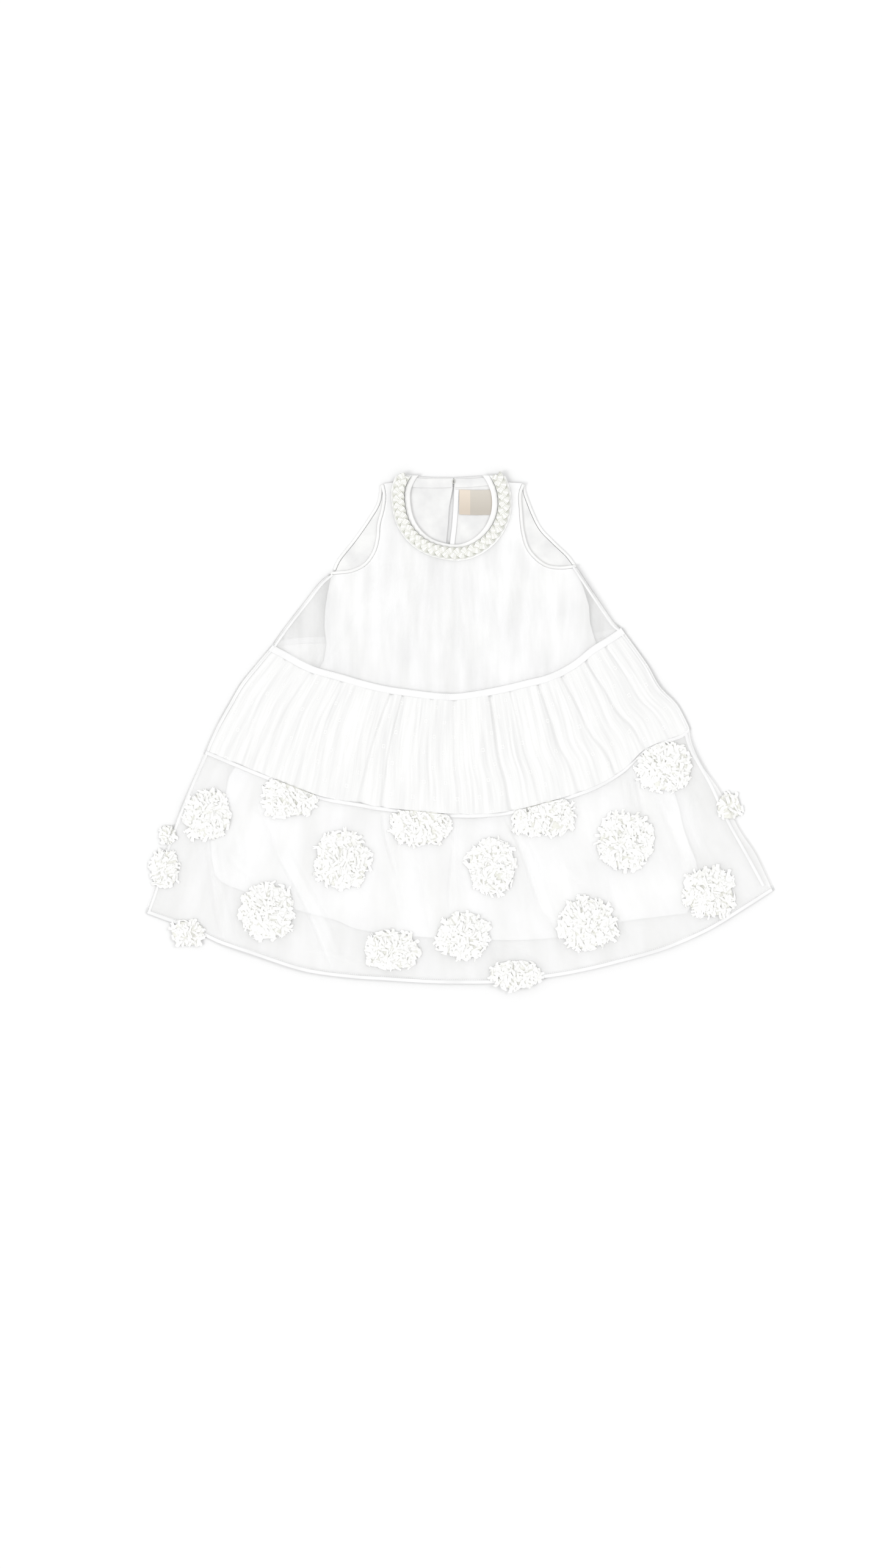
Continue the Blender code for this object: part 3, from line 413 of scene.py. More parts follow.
def finish_material(material, tone, height, strength, bump_mm):
    tree = material.node_tree
    shader = tree.nodes["Principled BSDF"].inputs
    bump = add_node(tree, "Bump", {"Height": height, "Strength": strength, "Distance": bump_mm * MM})
    tree.links.new(tone, shader["Base Color"])
    tree.links.new(bump, shader["Normal"])
    return material


def woven(name, dark, light, thread_mm, roughness, bump_mm, cloud_mm=60.0, streak=1.0, edge_tone_and_shade=None, **sockets):
    """Plain weave on the piece's own UVs, which are metres of cloth, with patches or streaks of tone; on the
    organza the streaks are partly painted shade of folds.

    The darker tone along both edges of a band stands for its stitch lines and for painted shade in the
    stitched groove.
    """
    material, tree, spots = start_material(name, roughness, **sockets)
    threads = {"Scale": 0.314 / (thread_mm * MM), "Distortion": 0.6, "Detail": 1.0, "Vector": spots}
    weave = calc(tree, "MULTIPLY", *[add_node(tree, "TexWave", threads, "Fac", bands_direction=way)
                                     for way in ("X", "Y")])
    fine = 1.0 / (cloud_mm * MM)
    drawn = add_node(tree, "Mapping", {"Scale": (fine, fine / streak, 1.0), "Vector": spots})
    cloud = add_node(tree, "TexNoise", {"Scale": 1.0, "Detail": 3.0, "Vector": drawn})
    share = calc(tree, "MULTIPLY_ADD", weave, 0.15, spread(tree, cloud, 0.32, 0.64))
    tone = blend(tree, share, dark, light)
    # Darker edges: the stitch lines and painted shade of the stitched groove
    if edge_tone_and_shade:
        across = add_node(tree, "SeparateXYZ", {0: spots}, 1)
        away = calc(tree, "ABSOLUTE", calc(tree, "SUBTRACT", across, 0.5 * BAND_UV))
        edge = spread(tree, away, 0.34 * BAND_UV, 0.5 * BAND_UV, 0.85, interpolation_type="SMOOTHSTEP")
        tone = blend(tree, edge, tone, edge_tone_and_shade)
    return finish_material(material, tone, weave, 0.35, bump_mm)


def satin_cord():
    """Satin rat-tail cord, twisted; what dives under its neighbours is darkened with painted shade."""
    material, tree, spots = start_material("satin_cord", 0.32, Sheen_Weight=0.4, Sheen_Roughness=0.3)
    twist = add_node(tree, "TexWave", {"Scale": 60.0, "Distortion": 1.5, "Detail": 2.0, "Vector": spots},
                     "Fac", bands_direction="DIAGONAL")
    height = add_node(tree, "SeparateXYZ", {0: add_node(tree, "TexCoord", take="Object")}, 2)
    middle = sum(corner[2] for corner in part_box("neck_braid")) / 2.0
    # Painted shade: the lower part of each cord is darker, as where it dives under its neighbours
    under = spread(tree, height, middle + 2.3 * MM, middle - 0.1 * MM, interpolation_type="SMOOTHSTEP")
    tone = blend(tree, under, blend(tree, twist, "#E9E9E4", "#FDFDFB"), "#D0D1C8")
    return finish_material(material, tone, twist, 0.4, 0.15)


def gauze():
    """Crinkled cotton gauze with small woven squares; the band of tucks is shaped in the tier itself."""
    material, tree, spots = start_material("crinkled_gauze", 0.92, Sheen_Weight=0.15)
    # Streaks of about 11 mm by 140 mm and finer, running down the cloth; they set both the bump and the tone
    drawn = add_node(tree, "Mapping", {"Scale": (90.0, 7.0, 1.0), "Vector": spots})
    crinkles = add_node(tree, "TexNoise", {"Scale": 1.0, "Detail": 4.0, "Roughness": 0.6, "Vector": drawn})
    # Outlined squares of 6 mm on a 38 mm by 46 mm repeat, in staggered columns
    rings = []
    for shift in (0.0, 0.5):
        reach = []
        for axis, pitch in enumerate((38.0, 46.0)):
            along = add_node(tree, "SeparateXYZ", {0: spots}, axis)
            part = calc(tree, "FRACT", calc(tree, "MULTIPLY_ADD", along, 1000.0 / pitch, shift))
            away = calc(tree, "ABSOLUTE", calc(tree, "SUBTRACT", part, 0.5))
            reach.append(calc(tree, "MULTIPLY", away, pitch))
        rings.append(calc(tree, "COMPARE", calc(tree, "MAXIMUM", *reach), 2.3, 0.75))
    squares = calc(tree, "MAXIMUM", *rings)
    # Crinkle tone: partly the denser threads of the creases, partly painted shade in the hollows and painted
    # light on the ridges
    tone = blend(tree, squares, blend(tree, crinkles, "#D3D3D3", "#F8F8F7"), "#EDEDEC")
    return finish_material(material, tone, calc(tree, "ADD", crinkles, squares), 0.6, 0.5)


def label_ribbon():
    """Woven satin ribbon in two tones, 17 mm of peach and then grey-beige, left bare."""
    material, tree, spots = start_material("woven_ribbon", 0.55, Sheen_Weight=0.2)
    across, down = [add_node(tree, "SeparateXYZ", {0: spots}, axis) for axis in (0, 1)]
    tone = blend(tree, calc(tree, "GREATER_THAN", across, 0.0165), "#DED2C3", "#CCC6BC")
    ribs = {"Scale": 300.0, "Distortion": 0.4, "Vector": spots}
    colour, height = [add_node(tree, "TexWave", ribs, take, bands_direction="Y") for take in ("Color", "Fac")]
    tone = blend(tree, 0.03, tone, colour, blend_type="MULTIPLY")
    # Painted shade: the lower end is darkened, as it dips away from the light
    foot_shade = spread(tree, down, 0.034, 0.006)
    tone = blend(tree, foot_shade, tone, (0.85, 0.84, 0.83, 1.0), blend_type="MULTIPLY")
    return finish_material(material, tone, height, 0.3, 0.1)


def make_materials():
    sheen = {"Sheen_Weight": 0.3, "Sheen_Roughness": 0.4}
    return {
        # Silk organza, plain weave of stiff fine threads: half see-through, faint sheen; its long streaks of
        # tone stand partly for doubled layers in the gathers and partly for painted shade of the folds
        "organza": woven("silk_organza", "#ECECEB", "#FEFEFE", 1.3, 0.6, 0.06, 26.0, 6.0, Alpha=0.5, **sheen),
        # The same organza in the flared tier, its broader and softer streaks painted shade of the slack folds
        "organza_flared": woven("silk_organza_flared", "#F4F4F3", "#FEFEFE", 1.3, 0.6, 0.06, 48.0, 3.5,
                                Alpha=0.6, **sheen),
        # The back yoke's inner face: the same organza painted darker as a shaded copy, so the sheer sides
        # look greyer
        "organza_shaded": woven("shaded_silk_organza", "#D0D0D0", "#E2E2E1", 1.3, 0.6, 0.06, 26.0, 6.0,
                                Alpha=0.6),
        # Cotton voile lining: dense enough to be opaque, matt and pure white
        "lining": woven("cotton_voile", "#E6E6E7", "#F0F0F0", 1.0, 0.85, 0.05),
        # The lining's inner face, seen in the neck and armholes: painted darker for the shade inside the
        # openings, duller and with soft patches
        "lining_shaded": woven("shaded_cotton_voile", "#D9D9D9", "#E7E7E6", 1.0, 0.9, 0.05, 35.0),
        # Doubled organza and voile at seams and hems: opaque and whiter than one layer, its edges darker by
        # the stitch lines and painted shade of the stitched groove
        "seam_band": woven("doubled_voile", "#E6E6E6", "#EFEFEF", 1.2, 0.75, 0.08, edge_tone_and_shade="#DDDDDD"),
        # Organza turned twice and pressed: the sheer cloth's own tone, a little denser, its edges darker by
        # the stitch lines and painted shade of the stitched groove
        "turned_edge": woven("turned_organza", "#E3E3E3", "#EEEEEE", 1.2, 0.75, 0.08, edge_tone_and_shade="#D6D6D6"),
        # Bias-cut satin binding, rolled: soft sheen along the roll
        "binding": woven("bias_binding", "#E4E4E3", "#F0F0EF", 0.9, 0.5, 0.05, Sheen_Weight=0.2),
        # Viscose yarn: strong silky highlight, ivory, with painted shade where the cords dive under
        "satin_cord": satin_cord(),
        # Satin ribbon under the plait: smooth and the whitest cloth of the dress
        "trim_ribbon": woven("satin_ribbon", "#EEEEEC", "#FAFAF9", 0.9, 0.45, 0.04, Sheen_Weight=0.2),
        # Raw-edged chiffon: crepe twist, matt, slightly creamy; each strip takes a random tone, the darker
        # ones standing for painted shade on tilted strips
        "chiffon_frill": woven("raw_chiffon", "#EBEBE8", "#FCFCFB", 0.9, 0.8, 0.05, 14.0, Alpha=0.95,
                               Sheen_Weight=0.25),
        # The ground that the strips are sewn to, seen only in the depth between them, painted darker as their
        # shade
        "chiffon_ground_shaded": woven("chiffon_ground_shaded", "#DBDBD3", "#E9E9E3", 0.9, 0.9, 0.05, 9.0),
        # Dry matt cotton, its crinkles lighter on the ridges and darker in the hollows, partly denser threads
        # and partly painted light and shade
        "crinkled_gauze": gauze(),
        # Ribbed satin, flat and dull beside the white cloth, its foot darkened by painted shade
        "woven_label": label_ribbon(),
        # Cotton-wrapped polyester thread, slightly glossy
        "thread": woven("sewing_thread", "#F0F0EE", "#FFFFFF", 0.4, 0.45, 0.05),
    }


MATERIALS = {}


def finish_piece(name, points, faces, uvs, slot, node=None, material=None):
    """New object from points, faces and a uv for each point, in place of a node."""
    mesh = bpy.data.meshes.new(name)
    mesh.from_pydata([tuple(p) for p in points], [], faces)
    layer = mesh.uv_layers.new(name="cloth")
    flat = np.array([uvs[loop.vertex_index] for loop in mesh.loops], dtype=np.float32)
    layer.data.foreach_set("uv", flat.ravel())
    mesh.update()
    thing = bpy.data.objects.new(name, mesh)
    bpy.context.scene.collection.objects.link(thing)
    return join_dress(thing, slot, node, material)


def join_dress(thing, slot, node, material=None):
    thing.data.shade_smooth()
    thing.data.materials.append(MATERIALS[material or slot])
    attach(thing, "root")
    if node:
        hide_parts(node)
    return thing


def lattice(rows, columns, start=0, closed=False):
    """Faces of a lattice of points, numbered from start row by row."""
    faces = []
    for r in range(rows - 1):
        for c in range(columns if closed else columns - 1):
            a = start + r * columns + c
            b = start + r * columns + (c + 1) % columns
            faces.append((a, b, b + columns, a + columns))
    return faces


def grid_piece(name, spots, levels, slot, node=None, uvs=None, material=None):
    """Sheet through the spots of a grid of levels, row by row."""
    points = [place(spot, level) for spot, level in zip(spots, levels.flat)]
    faces = [(a, d, c, b) for a, b, c, d in lattice(*levels.shape)]
    return finish_piece(name, points, faces, uvs or flat_uvs(spots), slot, node, material)


def flat_uvs(spots):
    return [(spot.x * MM, -spot.y * MM) for spot in spots]


def even_uvs(levels, width, length):
    """A grid's uvs over a rectangle of cloth, in metres."""
    rows, columns = levels.shape
    return [(width * c / (columns - 1), length * r / (rows - 1)) for r, c in np.ndindex(levels.shape)]


def tube_piece(name, points, rows, sides, uvs, slot, node=None, material=None):
    """Tubes of some rows of points each, closed round and capped at both ends."""
    faces = []
    for start in range(0, len(points), rows * sides):
        last = start + (rows - 1) * sides
        faces += lattice(rows, sides, start, True)
        faces += [tuple(range(start, start + sides))[::-1], tuple(range(last, last + sides))]
    thing = finish_piece(name, points, faces, uvs, slot, node, material)
    bm = bmesh.new()
    bm.from_mesh(thing.data)
    bmesh.ops.recalc_face_normals(bm, faces=bm.faces[:])
    bm.to_mesh(thing.data)
    bm.free()


def is_inside(points, spot):
    inside = False
    for a, b in zip(points, points[1:] + points[:1]):
        if (a.y > spot.y) != (b.y > spot.y):
            if spot.x < a.x + (spot.y - a.y) / (b.y - a.y) * (b.x - a.x):
                inside = not inside
    return inside


def cut_piece(name, outline, step, level, slot, node, relief, passes=0, material=None):
    """Panel cut to its outline, level from the solid below, softened, then given relief(spot)."""
    spots = list(outline)
    ring = np.array([(p.x, p.y) for p in outline])
    left, top = ring.min(axis=0)
    right, bottom = ring.max(axis=0)
    row = 0
    drop = top + step
    while drop < bottom:
        x = left + step * (0.5 if row % 2 else 1.0)
        while x < right:
            near = np.hypot(ring[:, 0] - x, ring[:, 1] - drop).min()
            if near > 0.6 * step and is_inside(outline, Vector((x, drop))):
                spots.append(Vector((x, drop)))
            x += step
        drop += 0.87 * step
        row += 1
    count = len(outline)
    lines = [(i, (i + 1) % count) for i in range(count)]
    flat, _edges, faces = delaunay_2d_cdt(spots, lines, [], 1, 1e-5, False)[:3]
    faces = [face for face in faces
             if is_inside(outline, sum((flat[i] for i in face), Vector((0.0, 0.0))) / len(face))]
    levels = np.array([level(spot) for spot in flat])
    pairs = np.array([(face[k - 1], face[k]) for face in faces for k in range(len(face))])
    pairs = np.concatenate((pairs, pairs[:, ::-1]))
    near = np.bincount(pairs[:, 0], minlength=len(flat))
    for _ in range(passes):
        total = np.bincount(pairs[:, 0], levels[pairs[:, 1]], len(flat))
        levels = np.where(near > 0, 0.5 * levels + 0.5 * total / np.maximum(near, 1), levels)
    points = [place(spot, z + relief(spot)) for spot, z in zip(flat, levels)]
    # The tables' drop runs against +Y, so the faces are turned to look up
    a, b, c = [flat[i] for i in faces[0][:3]]
    if (b - a).cross(c - a) > 0.0:
        faces = [face[::-1] for face in faces]
    return finish_piece(name, points, faces, flat_uvs(flat), slot, node, material)


def beside(spot, x0, drop0, x1, drop1):
    """Share of the way along a line, and the distance to its side in millimetres."""
    reach = spot - Vector((x0, drop0))
    line = Vector((x1 - x0, drop1 - drop0))
    return reach.dot(line) / line.length_squared, reach.cross(line) / line.length


def crease_relief(creases, spot):
    total = 0.0
    for *ends, half, depth in creases:
        share, side = beside(spot, *ends)
        if -0.1 < share < 1.1:
            side += 2.5 * sin(5.0 * share + ends[0])
            total += depth * bell(side / half) * ease((share + 0.1) * 4.0) * ease((1.1 - share) * 3.0)
    return total


def lining_relief(spot):
    """Slack folds that show through the neck opening."""
    total = slack(spot, 25.0, 0.12)
    for *ends, half, depth in LINING_CREASES:
        share, side = beside(spot, *ends)
        total += 1.8 * depth * bell(side / half) * bell((share - 0.5) * 1.4)
    return total


def yoke_relief(spot):
    """Fine gathers fanning down from the neck, and a few long soft folds."""
    ring = hypot((spot.x - NECK[0]) / 91.0, (spot.y - NECK[1]) / 88.0)
    below = ease((ring - 1.0) * 3.0)
    fan = (spot.x - NECK[0]) / (1.0 + 0.7 * max(0.0, (spot.y - 120.0) / 200.0))
    wander = 1.2 * rough(fan / 16.0, spot.y / 120.0, 1.0)
    gathers = sin(fan / 1.35 + wander) + 0.6 * sin(fan / 0.83 + 2.0 * wander)
    fade = ease((100.0 - abs(fan)) / 50.0) * ease((320.0 - spot.y) / 190.0)
    total = 0.42 * gathers * fade * below + crease_relief(YOKE_CREASES, spot) * below
    broad = sin(fan / 7.0 + 1.5 * rough(fan / 30.0, spot.y / 160.0, 4.0))
    total += 0.55 * broad * ease((spot.y - 90.0) / 60.0) * ease((150.0 - abs(fan)) / 40.0)
    return total + below * slack(spot, 35.0, 0.8, 3.7)


def crinkle(u, v):
    """Irregular fine creases running down the gauze, from -1 to 1."""
    pleats = bpy.context.scene.dress_sizes.pleats
    bent = u + 0.004 * rough(u * 9.0, v * 2.4, 0.4)
    coarse = 1.0 - 3.2 * abs(rough(bent * pleats * 0.55, v * 1.7, 8.1))
    fine = rough(bent * pleats * 1.7, v * 4.0, 2.3)
    gate = 0.55 + 1.3 * rough(u * 31.0, v * 2.2, 5.5)
    return (coarse * clamp(gate, 0.1, 1.2) + 0.5 * fine) * 0.8


def under_rosettes(spot):
    """How free the cloth is at a spot: 0 under a rosette and 1 beyond it."""
    share = 1.0
    for _name, x, drop, width, depth in ROSETTES:
        radial = hypot((spot.x - x) / (0.5 * width), (spot.y - drop) / (0.5 * depth))
        share = min(share, ease((radial - 0.9) * 3.5))
    return share


def slit_edge(side):
    return Path([(x + 0.5 * side * width, drop) for drop, x, width in SLIT])


def back_top(end_left, end_right):
    left = offset(Path(BACK_ARMHOLE_LEFT).run(20), ARMHOLE_INSET, 1)
    right = offset(Path(BACK_ARMHOLE_RIGHT).run(20), ARMHOLE_INSET, -1)
    edge = [Vector(end_left)] + left[::-1]
    edge += [Vector(row) for row in ((-95, -1), (-87, -12), (-70, -11), (-40, -8.5))]
    edge += slit_edge(-1).run(16) + slit_edge(1).run(16)[::-1]
    edge += [Vector(row) for row in ((30, -10.5), (65, -12), (73, -1))]
    return edge + right + [Vector(end_right)]


def front_top(neck_size):
    left = offset(Path(FRONT_ARMHOLE_LEFT).run(32), ARMHOLE_INSET, 1)
    right = offset(Path(FRONT_ARMHOLE_RIGHT).run(32), ARMHOLE_INSET, -1)
    neck = [ellipse(neck_size, i / 60) for i in range(61)]
    return (left[::-1] + [Vector(row) for row in SHOULDER_LEFT] + neck
            + [Vector(row) for row in SHOULDER_RIGHT] + right)


def rolled_piece(name, inner, outer, low, high, node, bend=12):
    """Soft roll of binding between two lines and two levels."""
    points = []
    for i, (a, b) in enumerate(zip(inner, outer)):
        swell = 1.0 + 0.05 * rough(i * 0.4, 0.0, 7.0)
        for k in range(bend):
            angle = TURN * k / bend
            across = 0.5 + 0.5 * copysign(abs(cos(angle)) ** 0.8, cos(angle))
            rise = 0.42 + 0.42 * copysign(abs(sin(angle)) ** 1.4, sin(angle)) * swell
            points.append(place(a.lerp(b, across), mix(low, high, rise)))
    uvs = [(0.003 * i, 0.002 * k) for i in range(len(inner)) for k in range(bend)]
    tube_piece(name, points, len(inner), bend, uvs, "binding", node)


def tier_on_solid(tier, node, shape, lines, ends, passes, width):
    """Spots, softened levels and uvs of a front tier; ends keep the levels off its solid's edges."""
    shares = tier.shares(*shape, lines, TIER_END)
    side, top, bottom = ends
    inner = [tier.at(clamp(u, side, 1.0 - side), clamp(v, top, bottom)) for u, v in shares]
    levels = blur(Cover(node).grid(inner, shape[0]), *passes)
    uvs = [(width * u, -tier.depth(u) * MM * v) for u, v in shares]
    return [tier.at(u, v) for u, v in shares], levels, uvs


def plait(sizes, steps=260, sides=7):
    """Three strands of four cords each, woven over and under round the neck."""
    middle = 0.5 * sum(corner[2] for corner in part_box("neck_braid")) / MM
    centre = [ellipse(BRAID_MIDDLE, i / steps) for i in range(steps + 1)]
    length = sum((b - a).length for a, b in zip(centre, centre[1:]))
    turns = TURN * sizes.plaits
    points = []
    uvs = []
    for strand, cord in np.ndindex(3, 4):
        lane = (cord - 1.5) * CORD_PITCH
        line = []
        for i in range(steps + 1):
            turn = turns * (i / steps) + TURN * strand / 3.0
            along = heading(centre, i)
            out = Vector((-along.y, along.x))
            slope = PLAIT_SWING * cos(turn) * turns / length
            lean = hypot(1.0, slope)
            spot = centre[i] + out * (PLAIT_SWING * sin(turn) + lane / lean) - along * (lane * slope / lean)
            rise = 1.1 * sin(2.0 * turn) + 0.3 * cos(pi * (cord - 1.5) / 3.0)
            line.append(place(spot, middle + rise))
        for i, point in enumerate(line):
            way = heading(line, i)
            side = way.cross(UP).normalized()
            up = side.cross(way)
            for k in range(sides):
                angle = TURN * k / sides
                points.append(point + (side * cos(angle) + up * sin(angle)) * sizes.cord)
                uvs.append((0.0035 * i, 0.0012 * k))
    tube_piece("plait_neck", points, steps + 1, sides, uvs, "satin_cord", "neck_braid")


def plait_ribbon():
    """The ribbon that the plait is sewn on, a white rim along its outer edge."""
    spots = [ellipse([half + reach for half in BRAID_MIDDLE], mix(0.004, 0.996, i / 160))
             for reach in (-8.6, -4.0, 1.0, 6.0, 11.2) for i in range(161)]
    levels = blur(Cover("front_yoke").grid(spots, 160) + 0.2, 4, 1)
    rim = grid_piece("ribbon_plait", spots, levels, "satin_cord", None,
                     even_uvs(levels, 0.304, 0.02), "trim_ribbon")


def facings():
    for side, ends in (("left", ((-71.0, -9.0, -78.0, 5.0), (-7.2, -7.5, -8.6, 6.0))),
                       ("right", ((-4.9, -7.5, -4.6, 6.0), (49.0, -10.0, 55.5, 1.5)))):
        levels = np.full((5, 41), FACING_LEVEL)
        levels[0] -= 0.2
        levels[-1] -= 0.5
        spots = []
        for r, i in np.ndindex(levels.shape):
            x0, top, x1, foot = [mix(a, b, i / 40) for a, b in zip(*ends)]
            sag = 1.6 * sin(pi * i / 40)
            spots.append(Vector((x0, top + sag)).lerp(Vector((x1, foot + sag)), r / 4))
        grid_piece("neck_facing_" + side, spots, levels, "lining", "back_neck_facing_" + side,
                   material="lining_shaded")


def placket():
    edge = slit_edge(1)
    spots = [edge.at(mix(0.135, 0.80, r / 40)) + Vector((0.5 + 6.8 * c / 4, 0.0))
             for r, c in np.ndindex(41, 5)]
    levels = np.array([[3.2 + 0.25 * sin(pi * c / 4) for c in range(5)]] * 41)
    uvs = [(0.0025 * r, BAND_UV * mix(0.3, 0.7, c / 4)) for r, c in np.ndindex(41, 5)]
    grid_piece("placket", spots, levels, "seam_band", "slit_placket", uvs)


def label():
    """Bare ribbon, bowed along its width and lifting a little at its foot."""
    spots = []
    levels = np.zeros((17, 25))
    for r, c in np.ndindex(levels.shape):
        bow = 0.9 * sin(pi * c / 24)
        spots.append(Vector((mix(2.2, 57.0, c / 24), mix(9.5 + bow, 47.0 + bow, r / 16))))
        levels[r, c] = 3.3 + 0.25 * sin(0.35 * c) * r / 16
    uvs = [(0.0548 * c / 24, 0.0375 * (1.0 - r / 16)) for r, c in np.ndindex(levels.shape)]
    ribbon = grid_piece("ribbon_label", spots, levels, "woven_label", "neck_label", uvs)


def thread_loop(context):
    middle = [0.5 * (a + b) for a, b in zip(*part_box("slit_loop"))]
    bpy.ops.mesh.primitive_torus_add(major_segments=28, minor_segments=8, major_radius=2.4 * MM,
                                     minor_radius=0.45 * MM, location=middle)
    loop = context.object
    loop.name = "thread_loop"
    bpy.ops.object.mode_set(mode="EDIT")
    bpy.ops.mesh.select_all(action="SELECT")
    bpy.ops.transform.resize(value=(0.8, 1.15, 1.0), center_override=loop.location)
    bpy.ops.object.mode_set(mode="OBJECT")
    bpy.ops.object.transform_apply(location=True, rotation=True, scale=True)
    loop.data.uv_layers[0].name = "cloth"
    join_dress(loop, "satin_cord", "slit_loop")


def rosette(cover, sizes, index, node, middle, width, depth):
    chance = random.Random(40 + index)
    low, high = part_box(node)
    rise = min(8.0, (high[2] - low[2]) / MM)
    clipped = node.startswith("rosette_upper") or node == "rosette_right_seam"
    small = min(1.0, min(width, depth) / 70.0)
    count = max(24, round(sizes.petals * width * depth / FULL_ROSETTE ** 2))
    if node == "rosette_right_edge":
        count //= 2
    waves = [(times, chance.uniform(0, 6.28), chance.uniform(0.3, 1.0) * swing)
             for times, swing in ((2, 0.03), (3, 0.045), (4, 0.04), (5, 0.035), (7, 0.03))]

    def seam_at(x):
        return FRONT_HEM.top.drop_at(x) + 2.0 if clipped else -1e9

    def round_spot(turn, reach):
        return middle + Vector((0.5 * width * cos(turn), 0.5 * depth * sin(turn))) * reach

    def radial_of(spot):
        """Distance from the middle, 1 at the rosette's own uneven and slightly square rim."""
        across = abs(spot.x - middle.x) / (0.5 * width)
        down = abs(spot.y - middle.y) / (0.5 * depth)
        turn = atan2(spot.y - middle.y, spot.x - middle.x)
        rim = 1.0 + sum(swing * sin(times * turn + phase) for times, phase, swing in waves)
        return (across ** 2.3 + down ** 2.3) ** (1.0 / 2.3) / rim

    def held_in(spot, most):
        """Pull a spot back to the rim, and below the seam where the rosette is cut off."""
        radial = radial_of(spot)
        if radial > most:
            spot = middle + (spot - middle) * (most / radial)
        over = seam_at(spot.x) - spot.y
        return Vector((spot.x, spot.y + 0.8 * over)) if over > 0.0 else spot

    def dome(spot):
        radial = radial_of(spot)
        return cover.level(spot) + 0.2 + 0.4 * rise * max(0.0, 1.0 - radial * radial)

    points = []
    uvs = []
    for i in range(count):
        # The outermost strips come first, and the inner ones lie over them
        r = sqrt(1.0 - (i + 0.5) / count) * 0.93
        turn = i * GOLDEN_ANGLE + 0.5 * chance.uniform(-1, 1)
        base = round_spot(turn, r)
        base = middle + (base - middle) * (r / max(0.05, radial_of(base)))
        if base.y < seam_at(base.x) + 1.0:
            continue
        length = sizes.petal_length / MM * chance.uniform(0.75, 1.25) * mix(0.7, 1.0, small)
        half = chance.uniform(1.6, 3.4) * mix(0.75, 1.0, small)
        yaw = turn + chance.gauss(0.0, 1.1)
        way = Vector((cos(yaw), sin(yaw)))
        side = Vector((-way.y, way.x))
        lift = chance.uniform(0.5, 4.2) * mix(0.6, 1.0, small) * (1.0 - 0.9 * r * r)
        cup = chance.uniform(-1.4, 1.4) * (1.0 - 0.75 * r * r)
        bend = chance.uniform(-0.35, 0.35)
        phase = chance.uniform(0, 6.28)
        most = 1.0 + chance.uniform(-0.12, 0.10)
        cut = [chance.uniform(0.82, 1.1) for _ in range(5)]
        for s, c in np.ndindex(5, 5):
            t = s / 4
            w = 0.5 * c - 1.0
            reach = length * t * (cut[c] if s == 4 else 1.0)
            wide = half * (0.7 + 0.3 * t) * w * (1.0 + 0.1 * sin(9.0 * t + phase))
            spot = base + way * (reach - 0.35 * length) + side * (wide + bend * length * t * t)
            spot = held_in(spot, most)
            level = dome(spot) + 0.2 + lift * t * (1.0 - 0.35 * t) + cup * w * w * t
            level += 0.45 * t * sin(2.6 * w + 4.0 * t + phase) * (1.0 - 0.6 * r * r)
            points.append(place(spot, min(max(level, cover.level(spot) + 0.15), high[2] / MM + 0.6)))
            uvs.append((0.001 * (wide + 20 * i), 0.001 * length * t))
    faces = [face for start in range(0, len(points), 25) for face in lattice(5, 5, start)]
    piece = finish_piece(node + "_frill", points, faces, uvs, "chiffon_frill", node)
    # The round of cloth that the strips are sewn to, domed, in a tone darkened by painted shade
    points = []
    uvs = []
    for k, i in np.ndindex(7, 40):
        turn = TURN * i / 40
        rim = round_spot(turn, 0.9 + 0.04 * sin(9.0 * turn))
        spot = middle.lerp(held_in(rim, 0.85), k / 6)
        points.append(place(spot, dome(spot)))
        uvs.append((0.04 * k / 6 * cos(turn), 0.04 * k / 6 * sin(turn)))
    ground = finish_piece(node + "_ground", points, lattice(7, 40, closed=True), uvs, "chiffon_frill",
                          material="chiffon_ground_shaded")


def within(kind, name, description, default, low, high, **more):
    """A size that a user can set between two ends."""
    return kind(name=name, description=description, default=default, min=low, max=high, **more)


class DressSizes(bpy.types.PropertyGroup):
    pleats: within(IntProperty, "Gauze creases", "Fine creases across the gauze tier", 186, 20, 240)
    pleat_depth: within(FloatProperty, "Crease depth", "Depth of a gauze crease in millimetres",
                        0.9, 0.1, 3.0)
    petals: within(IntProperty, "Petals", "Chiffon tabs on a full-size rosette", 250, 20, 320)
    petal_length: within(FloatProperty, "Petal length", "Length of a chiffon tab", 0.0125, 0.004, 0.02,
                         unit="LENGTH")
    cord: within(FloatProperty, "Cord", "Radius of one satin cord of the neck trim", 0.00105, 0.0005, 0.002,
                 unit="LENGTH")
    plaits: within(IntProperty, "Plaits", "Repeats of the plait round the neck", 10, 6, 24)
    stitch: within(FloatProperty, "Stitch", "Length of one machine stitch", 0.0026, 0.001, 0.005,
                   unit="LENGTH")


class DressStage(bpy.types.PropertyGroup):
    floor_colour: within(FloatVectorProperty, "Floor", "Colour of the plain floor", (0.832, 0.832, 0.832),
                         0.0, 1.0, subtype="COLOR")
    ambient: within(FloatProperty, "Ambient", "Strength of the white surroundings", 0.88, 0.0, 3.0)
    key: within(FloatProperty, "Key", "Strength of both softboxes, in watts a square metre", 1.6, 0.0, 10.0)
    lens: within(FloatProperty, "Lens", "Focal length of the overhead camera", 0.085, 0.02, 0.3,
                 unit="LENGTH")


